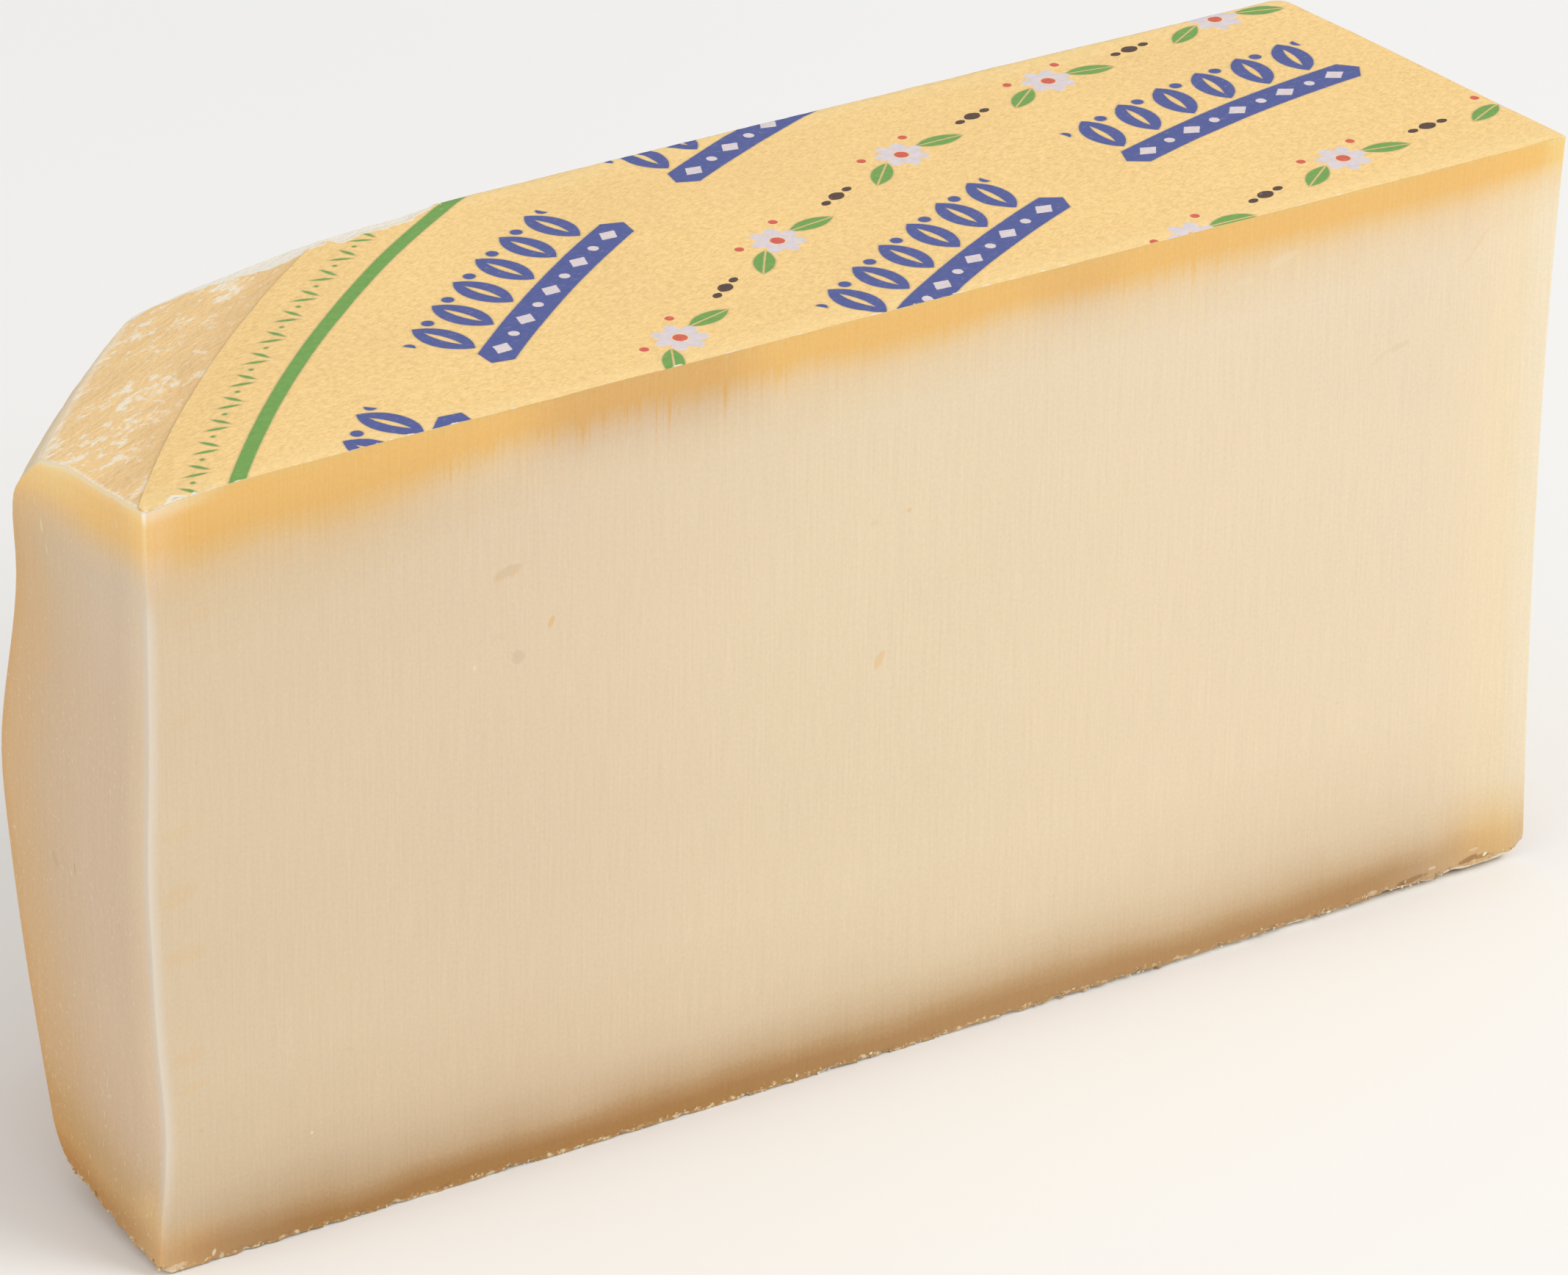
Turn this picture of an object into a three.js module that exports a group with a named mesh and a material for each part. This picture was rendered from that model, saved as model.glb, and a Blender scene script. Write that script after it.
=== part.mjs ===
// A wedge of hard pressed cheese: a block that four wire cuts took out of a wheel, with a
// piece of the wheel's rim at one end and the paper label still on its top.
// Millimetres, +Z up. The block stands on the underside of the wheel, and the origin is
// at the bottom centre of its bounding box, with +X along the two long cuts.

import * as THREE from 'three';
import { mergeVertices } from 'three/addons/utils/BufferGeometryUtils.js';

// The wheel that the block was cut from.
const WHEEL_RADIUS = 316.3;
const WHEEL_HEIGHT = 111;

// Where the cuts run. The long front cut and the left cut are square to each other, and
// their distances are taken from the wheel's axis.
const FRONT_CUT_FROM_AXIS = 170.4;
const LEFT_CUT_FROM_AXIS = 236.8;
const BLOCK_LENGTH = 218;
const BLOCK_WIDTH = 59.3;
const RIGHT_CUT_LEAN = THREE.MathUtils.degToRad(4.5);

// The rim: fullest a little above half height, drawn in above and below it, with a
// rounded corner at each end.
const FULLEST_HEIGHT = 59;
const DRAWN_IN_ABOVE = 3.3;
const DRAWN_IN_ABOVE_OVER = 30;
const DRAWN_IN_BELOW = 7.1;
const DRAWN_IN_BELOW_OVER = 48;
const DRAWN_IN_BELOW_POWER = 1.5;
const TOP_CORNER_FROM = 97;
const TOP_CORNER_BEND = 0.058;
const BOTTOM_CORNER_FROM = 10;
const BOTTOM_CORNER_BEND = 0.06;

// The flat faces of the wheel fall away towards the rim.
const TOP_FALLS_FROM = 276;
const TOP_BEND = 0.0052;
const UNDERSIDE_RISES_FROM = 290;
const UNDERSIDE_BEND = 0.0155;

// The wires wandered: the left cut swells and then hollows on the way down, and the
// right cut is hollow between its top and bottom edges.
const LEFT_SWELL = { depth: -0.55, height: 59, spread: 11 };
const LEFT_HOLLOW = { depth: 1.35, height: 20, spread: 13 };
const RIGHT_HOLLOW_HEIGHT = 69;
const RIGHT_FLARE_TOP = 1.15;
const RIGHT_FLARE_BOTTOM = 1.5;
const BACK_BOW = 0.4;
const BACK_BOW_STARTS_OVER = 20;

// The lower edges are crumbled, most of all towards the right-hand end, and the top edge
// of the left cut has a low lip near the rim.
const CRUMBLE_REACH = 3;
const CRUMBLE_LEFT = 0.35;
const CRUMBLE_RIGHT = 1.4;
const CRUMBLE_WORSENS_FROM = 60;
const CRUMBLE_UNEVEN = 0.28;
const CRUMBLE_WAVES = [
  { perMm: 0.83, start: 0 },
  { perMm: 0.37, start: 1.1 },
  { perMm: 1.71, start: 0.4 },
];
const RIGHT_END_ROUNDING = 2.6;
const LIP = { rise: 0.7, along: 20, length: 6, width: 2.2 };

// The paper label is a disc on the wheel's top, smaller than the wheel and laid a little
// off its centre.
const LABEL_RADIUS = 292.1;
const LABEL_OFF_CENTRE = { left: 6, front: 6.7 };
const LABEL_THICKNESS = 0.2;
const LABEL_CLEARANCE = 0.2;

// Halvings that find where the rim meets the wheel's flat faces, and the distance within
// which the sides of a body share their corners.
const HALVINGS = 30;
const SHARED_WITHIN = 0.001;

// Facets: columns along the block, rows across it and levels up it. The first few
// columns of the back surface lie on the rim.
const CHEESE_FACETS = { columns: 40, rows: 12, levels: 20, rimColumns: 9 };
const LABEL_FACETS = { columns: 36, rows: 8, levels: 1, rimColumns: 11 };

const { lerp, clamp, smoothstep } = THREE.MathUtils;
const WHEEL_AXIS = [LEFT_CUT_FROM_AXIS, -FRONT_CUT_FROM_AXIS];
const LABEL_CENTRE = [WHEEL_AXIS[0] - LABEL_OFF_CENTRE.left, WHEEL_AXIS[1] - LABEL_OFF_CENTRE.front];

function bell(distance, spread) {
  return Math.exp(-((distance / spread) ** 2));
}

// Distance of the rim's surface from the wheel's axis at a height.
function rimProfile(height) {
  const above = Math.max(0, height - FULLEST_HEIGHT);
  const below = Math.max(0, FULLEST_HEIGHT - height);
  const drawnInAbove = DRAWN_IN_ABOVE * smoothstep(above, 0, DRAWN_IN_ABOVE_OVER);
  const drawnInBelow = DRAWN_IN_BELOW * (below / DRAWN_IN_BELOW_OVER) ** DRAWN_IN_BELOW_POWER;
  const topCorner = TOP_CORNER_BEND * Math.max(0, height - TOP_CORNER_FROM) ** 2;
  const bottomCorner = BOTTOM_CORNER_BEND * Math.max(0, BOTTOM_CORNER_FROM - height) ** 2;
  return WHEEL_RADIUS - drawnInAbove - drawnInBelow - topCorner - bottomCorner;
}

function wheelTop(radius) {
  return WHEEL_HEIGHT - TOP_BEND * Math.max(0, radius - TOP_FALLS_FROM) ** 2;
}

function wheelUnderside(radius) {
  return UNDERSIDE_BEND * Math.max(0, radius - UNDERSIDE_RISES_FROM) ** 2;
}

// The height where the rim meets a flat face of the wheel, found by repeated halving
// between a height that is on the rim and one that is past it.
function meetingHeight(face, onRim, pastRim) {
  const gap = (height) => face(rimProfile(height)) - height;
  let near = onRim;
  let far = pastRim;
  for (let step = 0; step < HALVINGS; step += 1) {
    const middle = (near + far) / 2;
    if (Math.sign(gap(middle)) === Math.sign(gap(onRim))) {
      near = middle;
    } else {
      far = middle;
    }
  }
  return near;
}

const RIM_TOP = meetingHeight(wheelTop, FULLEST_HEIGHT, WHEEL_HEIGHT);
const RIM_BOTTOM = meetingHeight(wheelUnderside, FULLEST_HEIGHT, 0);

function rimRadius(height) {
  return rimProfile(clamp(height, RIM_BOTTOM, RIM_TOP));
}

function radiusAt(x, y) {
  return Math.hypot(x - WHEEL_AXIS[0], y - WHEEL_AXIS[1]);
}

function leftCut(height) {
  const swell = LEFT_SWELL.depth * bell(height - LEFT_SWELL.height, LEFT_SWELL.spread);
  const hollow = LEFT_HOLLOW.depth * bell(height - LEFT_HOLLOW.height, LEFT_HOLLOW.spread);
  return swell + hollow;
}

function rightCut(y, height) {
  const up = (height - RIGHT_HOLLOW_HEIGHT) / (WHEEL_HEIGHT - RIGHT_HOLLOW_HEIGHT);
  const down = (RIGHT_HOLLOW_HEIGHT - height) / RIGHT_HOLLOW_HEIGHT;
  const flare = up > 0 ? RIGHT_FLARE_TOP * up ** 2 : RIGHT_FLARE_BOTTOM * down ** 2;
  return BLOCK_LENGTH - y * Math.tan(RIGHT_CUT_LEAN) + flare;
}

function backCut(x) {
  return BLOCK_WIDTH + BACK_BOW * Math.sin((Math.PI * x) / BLOCK_LENGTH);
}

// A point on the back of the block at a height: first round a circle, from the left cut
// to the back cut, for the given share of the way, and then along the back cut.
function backPoint(along, curveShare, circle, height) {
  const [centreX, centreY] = circle.centre;
  const startAngle = Math.acos((centreX - leftCut(height)) / circle.radius);
  const endAngle = Math.asin((BLOCK_WIDTH - centreY) / circle.radius);
  if (along <= curveShare) {
    const angle = lerp(startAngle, endAngle, along / curveShare);
    return [centreX - circle.radius * Math.cos(angle), centreY + circle.radius * Math.sin(angle)];
  }
  const corner = centreX - circle.radius * Math.cos(endAngle);
  const x = lerp(corner, rightCut(BLOCK_WIDTH, height), (along - curveShare) / (1 - curveShare));
  const bowed = smoothstep(x - corner, 0, BACK_BOW_STARTS_OVER);
  return [x, lerp(BLOCK_WIDTH, backCut(x), bowed)];
}

// A place in the block's plan, between the front cut and the back.
function planPoint(along, across, curveShare, circle, height) {
  const back = backPoint(along, curveShare, circle, height);
  const frontX = lerp(leftCut(height), rightCut(0, height), along);
  return [lerp(frontX, back[0], across), back[1] * across];
}

// How much has crumbled off a lower edge at a place along the block.
function crumble(x) {
  let wander = 0;
  for (const wave of CRUMBLE_WAVES) {
    wander += Math.sin(x * wave.perMm + wave.start) / CRUMBLE_WAVES.length;
  }
  const worse = smoothstep(x, CRUMBLE_WORSENS_FROM, BLOCK_LENGTH);
  return Math.max(0, lerp(CRUMBLE_LEFT, CRUMBLE_RIGHT, worse) + CRUMBLE_UNEVEN * wander);
}

function fade(distance, reach) {
  return clamp(1 - distance / reach, 0, 1) ** 2;
}

// The underside of the block: the wheel's, with its cut edges crumbled away.
function underside([x, y]) {
  const toRight = rightCut(y, 0) - x;
  const toCut = Math.min(y, backCut(x) - y, x, toRight);
  const rightEnd = RIGHT_END_ROUNDING * fade(toRight, CRUMBLE_REACH);
  return wheelUnderside(radiusAt(x, y)) + crumble(x) * fade(toCut, CRUMBLE_REACH) + rightEnd;
}

// The top of the block under its label: the wheel's, with the lip on the left cut.
function topside([x, y]) {
  const lip = LIP.rise * bell(x, LIP.width) * bell(y - LIP.along, LIP.length);
  return wheelTop(radiusAt(x, y)) + lip;
}

function wheelCircle(height) {
  return { centre: WHEEL_AXIS, radius: rimRadius(height) };
}

function cheesePoint(along, across, up, curveShare) {
  const foot = planPoint(along, across, curveShare, wheelCircle(0), 0);
  const head = planPoint(along, across, curveShare, wheelCircle(WHEEL_HEIGHT), WHEEL_HEIGHT);
  const height = lerp(underside(foot), topside(head), up);
  const place = planPoint(along, across, curveShare, wheelCircle(height), height);
  return [...place, height];
}

function labelPoint(along, across, up, curveShare) {
  const disc = { centre: LABEL_CENTRE, radius: LABEL_RADIUS };
  const place = planPoint(along, across, curveShare, disc, WHEEL_HEIGHT);
  const height = wheelTop(radiusAt(...place)) + LABEL_CLEARANCE + LABEL_THICKNESS * up;
  return [...place, height];
}

// Stations from 0 to 1 that crowd towards both ends, where the edges are.
function station(index, count) {
  return (1 - Math.cos((Math.PI * index) / count)) / 2;
}

// A closed body with six sides, as a box has. Each side is a grid over two of the three
// shares (along, across, up), with the third at its low or high end.
function sixSidedBody(pointAt, facets) {
  const counts = [facets.columns, facets.rows, facets.levels];
  const curveShare = station(facets.rimColumns, facets.columns);
  const positions = [];
  const triangles = [];
  for (let fixed = 0; fixed < 3; fixed += 1) {
    const first = (fixed + 1) % 3;
    const second = (fixed + 2) % 3;
    for (const end of [0, 1]) {
      const start = positions.length / 3;
      const rowLength = counts[second] + 1;
      for (let i = 0; i <= counts[first]; i += 1) {
        for (let j = 0; j <= counts[second]; j += 1) {
          const shares = [0, 0, 0];
          shares[fixed] = end;
          shares[first] = station(i, counts[first]);
          shares[second] = station(j, counts[second]);
          positions.push(...pointAt(...shares, curveShare));
        }
      }
      for (let i = 0; i < counts[first]; i += 1) {
        for (let j = 0; j < counts[second]; j += 1) {
          const a = start + i * rowLength + j;
          const b = a + rowLength;
          const quad = end === 1 ? [a, b, b + 1, a, b + 1, a + 1] : [a, b + 1, b, a, a + 1, b + 1];
          triangles.push(...quad);
        }
      }
    }
  }
  const geometry = new THREE.BufferGeometry();
  geometry.setAttribute('position', new THREE.Float32BufferAttribute(positions, 3));
  geometry.setIndex(triangles);
  const merged = mergeVertices(geometry, SHARED_WITHIN);
  merged.computeVertexNormals();
  return merged;
}

const cheese = new THREE.Mesh(
  sixSidedBody(cheesePoint, CHEESE_FACETS),
  new THREE.MeshStandardMaterial({ color: 0xe9d3ae, roughness: 0.55, metalness: 0 }),
);
cheese.name = 'cheese';

const label = new THREE.Mesh(
  sixSidedBody(labelPoint, LABEL_FACETS),
  new THREE.MeshStandardMaterial({ color: 0xf7d494, roughness: 0.8, metalness: 0 }),
);
label.name = 'label';

const wedge = new THREE.Group();
wedge.add(cheese, label);

// Put the origin at the bottom centre of the bounding box.
const extent = new THREE.Box3().setFromObject(wedge);
const centre = extent.getCenter(new THREE.Vector3());
wedge.position.set(-centre.x, -centre.y, -extent.min.z);

export default wedge;
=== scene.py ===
"""A block of hard pressed cheese with its paper label, dressed over its CAD frame.

The shapes are worked out in millimetres in the frame of the cuts: x runs along the front
cut from the block's front left edge, y goes into the block and z goes up from the
underside of the wheel. They are moved to the CAD frame, in metres, when a mesh is made.
"""
import math

import bpy
import numpy as np
from bpy.props import FloatProperty, FloatVectorProperty, IntProperty, PointerProperty
from mathutils import Matrix, Vector


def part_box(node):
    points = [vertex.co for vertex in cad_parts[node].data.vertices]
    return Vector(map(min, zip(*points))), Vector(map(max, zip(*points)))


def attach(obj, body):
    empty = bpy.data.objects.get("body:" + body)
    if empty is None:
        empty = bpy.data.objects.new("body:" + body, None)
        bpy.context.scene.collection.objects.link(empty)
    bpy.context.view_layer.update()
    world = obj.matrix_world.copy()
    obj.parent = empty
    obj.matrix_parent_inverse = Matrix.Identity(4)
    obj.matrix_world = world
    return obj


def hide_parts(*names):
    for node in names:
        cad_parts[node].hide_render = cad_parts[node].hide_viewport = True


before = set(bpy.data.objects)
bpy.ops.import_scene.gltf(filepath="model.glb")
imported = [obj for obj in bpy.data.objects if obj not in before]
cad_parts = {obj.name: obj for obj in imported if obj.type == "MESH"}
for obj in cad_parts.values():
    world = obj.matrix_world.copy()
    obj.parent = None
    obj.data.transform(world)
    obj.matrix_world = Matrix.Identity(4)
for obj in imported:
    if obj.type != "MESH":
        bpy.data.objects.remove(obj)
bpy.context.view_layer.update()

bl_info = {
    "name": "Cheese Block",
    "version": (1, 0, 0),
    "blender": (4, 5, 0),
    "location": "View3D > Sidebar > Cheese",
    "description": "Builds a labelled block of hard pressed cheese, cut from a wheel",
    "category": "Add Mesh",
}

MM = 0.001
BODY = "root"

# The wheel that the block was cut from, and where the cuts run, in millimetres.
WHEEL_RADIUS = 316.3
WHEEL_HEIGHT = 111.0
WHEEL_AXIS = (236.8, -170.4)
BLOCK_LENGTH = 218.0
BLOCK_WIDTH = 59.3
RIGHT_CUT_SLOPE = math.tan(math.radians(4.5))

# The rim's profile, the fall of the flat faces towards it and the wander of the wires.
FULLEST_HEIGHT = 59.0
DRAWN_IN_ABOVE = 3.3
DRAWN_IN_ABOVE_OVER = 30.0
DRAWN_IN_BELOW = 7.1
DRAWN_IN_BELOW_OVER = 48.0
DRAWN_IN_BELOW_POWER = 1.5
TOP_CORNER_FROM = 97.0
TOP_CORNER_BEND = 0.058
BOTTOM_CORNER_FROM = 10.0
BOTTOM_CORNER_BEND = 0.06
TOP_FALLS_FROM = 276.0
TOP_BEND = 0.0052
UNDERSIDE_RISES_FROM = 290.0
UNDERSIDE_BEND = 0.0165
LEFT_HOLLOW_AT_RIM = 0.1
RIGHT_HOLLOW_HEIGHT = 69.0
RIGHT_FLARE_TOP = 1.15
RIGHT_FLARE_BOTTOM = 1.5
BACK_BOW = 0.4
BACK_BOW_STARTS_OVER = 20.0
BACK_CORNER_ROUNDING = 2.2
TOP_SAG = 0.33
TOP_SAG_ALONG = (56, 76)
TOP_SAG_ACROSS = (36, 59)

# Bells on the left cut and on the rim's shoulder: height, spread and depth.
LEFT_SWELL = (59.0, 11.0, -0.55)
LEFT_HOLLOW = (20.0, 13.0, 1.35)
SHOULDER = (95.0, 4.5, -0.45)
SHOULDER_BEVEL = (103.0, 3.2, 0.6)

# How the lower edges are crumbled, and the lip on the left cut's top edge.
CRUMBLE_REACH = 3.0
CRUMBLE_EVERYWHERE = 0.05
CRUMBLE_RIGHT = 1.0
CRUMBLE_WORSENS = (95.0, 215.0)
CRUMBLE_LAST_BIT = 0.6
CRUMBLE_LAST_OVER = (206, 217)
RIGHT_END_ROUNDING = 1.5
LIP_RISE = 0.7
LIP_ALONG = 20.0
LIP_LENGTH = 6.0
LIP_WIDTH = 2.2

# Places along the front's lower edge where a larger bit is missing: place, depth, reach.
LOWER_BITES = ((0.0, 0.9, 1.2), (20.5, 0.12, 2.0), (38.0, 0.15, 2.6), (54.0, 0.1, 1.6), (140.0, 0.1, 3.0),
               (196.7, 0.5, 2.2), (207.8, 0.75, 2.2))

# The broken strip on the back's top edge: its width by place along the block, and how far
# it lies below the top at its edge and for each millimetre outwards.
NO_STRIP = -0.4
STRIP_WIDTHS = {24: 0.6, 30: 1.6, 35: 0.9, 40: 2.0, 45: 3.3, 49: 4.4, 52: 4.2, 55: 3.2, 58.6: 2.9,
                59.2: 1.8, 59.9: 4.3, 64: 3.3, 70: 3.1, 72.5: 2.4, 74.5: 1.1, 79: NO_STRIP}
STRIP_STEP = 0.12
STRIP_SLOPE = 0.11

# Noise in the shapes, as layers of strength, cell, seed and octaves.
CRUMBLE_NOISE = ((0.1, 5.0, 91, 2), (0.16, 1.7, 95, 2))
STRIP_NOISE = ((0.525, 1.3, 21, 1),)
TOP_SWELLS = ((0.14, 17.0, 11, 1), (0.0525, 5.0, 12, 1))
RIND_CLOTH = ((0.24, 7.0, 31, 3), (0.09, 1.9, 34, 2))
ROUGH_TOP = ((0.07, (5.0, 1.9, 3.0), 37, 2),)
CUT_WAVES = ((0.105, (38.0, 38.0, 60.0), 41, 1), (0.035, (9.0, 9.0, 24.0), 42, 1))
CRUMBLY_BITS = ((0.45, (1.6, 1.6, 0.9), 51, 2),)
PUCKERS = ((0.025, (7.0, 4.0), 61, 3),)

# The label is a disc laid a little off the wheel's centre.
LABEL_CENTRE = (WHEEL_AXIS[0] - 6.0, WHEEL_AXIS[1] - 6.7)
LABEL_RADIUS = 292.1
LABEL_LIFT = 0.03
LABEL_THICKNESS = 0.11
LABEL_EDGE_SINK = 0.15
LABEL_SIDES_IN = 0.12

# The camera: it looks at the block from the front left, a little over a metre away.
IMAGE_WIDTH = 2135
CAMERA_FOCAL_PIXELS = 11915.4
CAMERA_SENSOR = 36.0
CAMERA_AZIMUTH = math.radians(-33.283)
CAMERA_ELEVATION = math.radians(27.01)
CAMERA_ROLL = math.radians(1.038)
CAMERA_DISTANCE = 1124.78
CAMERA_AIM = (-80.32, -81.54)
CAMERA_LEVEL = 1.0


# ---- Sizes and colours that a user would change ----

def tint(name, text, default):
    """A colour to choose."""
    return FloatVectorProperty(name=name, description=text, default=default, subtype="COLOR",
                               size=3, min=0.0, max=1.0)


def length(name, text, default, low, high):
    """A length to choose, in metres."""
    return FloatProperty(name=name, description=text, default=default, min=low, max=high,
                         unit="LENGTH", precision=6)


def power(name, text, default):
    """A lamp's power to choose, in watts."""
    return FloatProperty(name=name, description=text, default=default, min=0.0, unit="POWER")


class PasteSettings(bpy.types.PropertyGroup):
    """Looks of the cheese itself"""

    paste: tint("Paste", "Colour of the cut cheese", (0.805, 0.665, 0.475))
    rind: tint("Rind", "Colour of the bare rind on the top", (0.93, 0.64, 0.31))
    rind_flecks: tint("Flecks", "Colour of the rough flecks on the rind", (0.96, 0.87, 0.70))
    rim_rind: tint("Rim", "Colour of the rind round the rim and below", (0.58, 0.36, 0.165))
    top_rounding: length("Top rounding", "Radius of the edges at the top", 0.00008, 0.00001, 0.002)
    foot_rounding: length("Foot rounding", "Radius of the edges at the bottom", 0.00015, 0.0001, 0.002)
    ribbing: length("Ribbing", "Depth of the wire's fine marks", 0.00002, 0.0, 0.0005)


class LabelSettings(bpy.types.PropertyGroup):
    """Looks of the paper label"""

    paper: tint("Paper", "Colour of the label's paper", (0.935, 0.65, 0.28))
    torn: tint("Torn edge", "Colour of torn paper fibre", (0.90, 0.84, 0.72))
    blue: tint("Blue ink", "Colour of the label's main ink", (0.095, 0.12, 0.335))
    green: tint("Green ink", "Colour of the ring and the leaves", (0.185, 0.385, 0.095))
    red: tint("Red ink", "Colour of the berries", (0.68, 0.135, 0.095))
    brown: tint("Brown ink", "Colour of the seeds", (0.105, 0.065, 0.055))
    white: tint("White ink", "Colour of the petals and diamonds", (0.74, 0.66, 0.69))


class CrumbSettings(bpy.types.PropertyGroup):
    """How many crumbs cling to the edges"""

    count: IntProperty(name="Crumbs", description="Crumbs along the lower edges", default=520,
                       min=0, max=2000)
    seed: IntProperty(name="Seed", description="Seed of the crumbs' places", default=7)
    size: length("Size", "Usual width of a crumb", 0.0005, 0.0001, 0.003)


class StageSettings(bpy.types.PropertyGroup):
    """Floor and light"""

    floor: tint("Floor", "Colour of the floor", (0.93, 0.93, 0.93))
    key_power: power("Key light", "Power of the key light", 14.6)
    fill_power: power("Fill light", "Power of the fill light", 2.9)
    sky: FloatProperty(name="Surrounding light", description="Strength of the pale surround",
                       default=0.70, min=0.0)


# ---- The wheel's surfaces, as functions of place ----

def smoothstep(value, low, high):
    """Eased share t of the way from low to high, 3t^2 - 2t^3; low may be over high."""
    share = np.clip((value - low) / (high - low), 0, 1)
    return share * share * (3 - 2 * share)


def bell(distance, spread):
    """e to the minus square of the distance in spreads."""
    return np.exp(-((distance / spread) ** 2))


def bell_at(height, at, spread, depth):
    """A bell of the given depth about a height."""
    return depth * bell(height - at, spread)


def lerp(start, end, share):
    """Straight from start to end by the share."""
    return start + (end - start) * share


def window(value, low, high, ease):
    """1 between low and high, eased to 0 over the given distance outside them."""
    return smoothstep(value, low - ease, low) * smoothstep(value, high + ease, high)


def fade(distance, reach):
    """1 at no distance, falling by a square law to 0 at the reach."""
    return np.clip(1 - distance / reach, 0, 1) ** 2


def rim_profile(height):
    """Rim's distance from the axis: the fullest radius less the parts drawn in above and
    below the fullest height, a square law at either corner and the shoulder's bells."""
    above = np.maximum(0, height - FULLEST_HEIGHT)
    below = np.maximum(0, FULLEST_HEIGHT - height)
    drawn = DRAWN_IN_ABOVE * smoothstep(above, 0, DRAWN_IN_ABOVE_OVER)
    drawn = drawn + DRAWN_IN_BELOW * (below / DRAWN_IN_BELOW_OVER) ** DRAWN_IN_BELOW_POWER
    drawn = drawn + TOP_CORNER_BEND * np.maximum(0, height - TOP_CORNER_FROM) ** 2
    drawn = drawn + BOTTOM_CORNER_BEND * np.maximum(0, BOTTOM_CORNER_FROM - height) ** 2
    return WHEEL_RADIUS - (drawn + bell_at(height, *SHOULDER) + bell_at(height, *SHOULDER_BEVEL))


def wheel_top(radius):
    """Height of the top: level, then falling by a square law of the radius."""
    return WHEEL_HEIGHT - TOP_BEND * np.maximum(0, radius - TOP_FALLS_FROM) ** 2


def wheel_underside(radius):
    """Height of the underside: level, then rising by a square law of the radius."""
    return UNDERSIDE_BEND * np.maximum(0, radius - UNDERSIDE_RISES_FROM) ** 2


def rim_ends():
    """Lowest and highest height of the rim: where its profile meets the flat faces."""
    heights = np.linspace(0, WHEEL_HEIGHT, 20001)
    radii = rim_profile(heights)
    on_rim = (heights > wheel_underside(radii)) & (heights < wheel_top(radii))
    return heights[on_rim].min(), heights[on_rim].max()


RIM_ENDS = rim_ends()


def rim_radius(height):
    """The rim's profile, held where it meets the flat faces."""
    return rim_profile(np.clip(height, *RIM_ENDS))


def radius_at(x, y, centre=WHEEL_AXIS):
    """Distance in plan from a centre."""
    return np.hypot(x - centre[0], y - centre[1])


def left_cut(height, hollow_share=1.0):
    """Where the left cut lies along x: a swell and a share of a hollow, both bells."""
    return bell_at(height, *LEFT_SWELL) + bell_at(height, *LEFT_HOLLOW) * hollow_share


def right_cut(y, height):
    """Where the right cut lies along x: a slope that flares by square laws up and down."""
    up = np.maximum(0, height - RIGHT_HOLLOW_HEIGHT) / (WHEEL_HEIGHT - RIGHT_HOLLOW_HEIGHT)
    down = np.maximum(0, RIGHT_HOLLOW_HEIGHT - height) / RIGHT_HOLLOW_HEIGHT
    flare = RIGHT_FLARE_TOP * up ** 2 + RIGHT_FLARE_BOTTOM * down ** 2
    return BLOCK_LENGTH - y * RIGHT_CUT_SLOPE + flare


def back_cut(x):
    """Where the back cut lies along y: bowed out by half a sine wave."""
    return BLOCK_WIDTH + BACK_BOW * np.sin(np.pi * x / BLOCK_LENGTH)


def back_point(along, curve_share, centre, radius, height):
    """The block's back at a height: round a circle from the left cut to the back cut for
    the given share of the way, and then along the back cut."""
    start = np.arccos((centre[0] - left_cut(height, LEFT_HOLLOW_AT_RIM)) / radius)
    end = np.arcsin((BLOCK_WIDTH - centre[1]) / radius)
    angle = lerp(start, end, np.minimum(1, along / curve_share))
    corner = centre[0] - radius * np.cos(end)
    past = np.maximum(0, along - curve_share) / (1 - curve_share)
    straight_x = lerp(corner, right_cut(BLOCK_WIDTH, height), past)
    bowed = smoothstep(straight_x - corner, 0, BACK_BOW_STARTS_OVER)
    straight_y = lerp(BLOCK_WIDTH, back_cut(straight_x), bowed)
    on_curve = along <= curve_share
    x = np.where(on_curve, centre[0] - radius * np.cos(angle), straight_x)
    y = np.where(on_curve, centre[1] + radius * np.sin(angle), straight_y)
    return x, y


def plan_point(along, across, curve_share, centre, radius, height):
    """A place in the block's plan: the share of the way across from the front cut to the
    back, at the given share of the way along both."""
    back_x, back_y = back_point(along, curve_share, centre, radius, height)
    front_x = lerp(left_cut(height), right_cut(0, height), along)
    return lerp(front_x, back_x, across), back_y * across


def crumble(x):
    """How much has crumbled off a lower edge: a depth that grows to the right, plus noise
    at two sizes and the larger bites."""
    depth = CRUMBLE_RIGHT * smoothstep(x, *CRUMBLE_WORSENS)
    depth = depth + CRUMBLE_EVERYWHERE + CRUMBLE_LAST_BIT * smoothstep(x, *CRUMBLE_LAST_OVER)
    bites = sum(rise * bell(x - place, reach) for place, rise, reach in LOWER_BITES)
    return np.maximum(0, depth + layered(along_line(x), CRUMBLE_NOISE) + bites)


def underside(x, y):
    """The block's foot: the wheel's underside, raised by what crumbled off near the cuts."""
    to_right = right_cut(y, 0.0) - x
    to_cut = np.minimum(np.minimum(y, back_cut(x) - y), np.minimum(x, to_right))
    right_end = RIGHT_END_ROUNDING * fade(to_right, CRUMBLE_REACH)
    return wheel_underside(radius_at(x, y)) + crumble(x) * fade(to_cut, CRUMBLE_REACH) + right_end


def topside(x, y):
    """The block's head: the wheel's top with a bell-shaped lip, less the sag."""
    lip = LIP_RISE * bell(x, LIP_WIDTH) * bell(y - LIP_ALONG, LIP_LENGTH)
    return wheel_top(radius_at(x, y)) + lip - top_sag(x, y)


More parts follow.
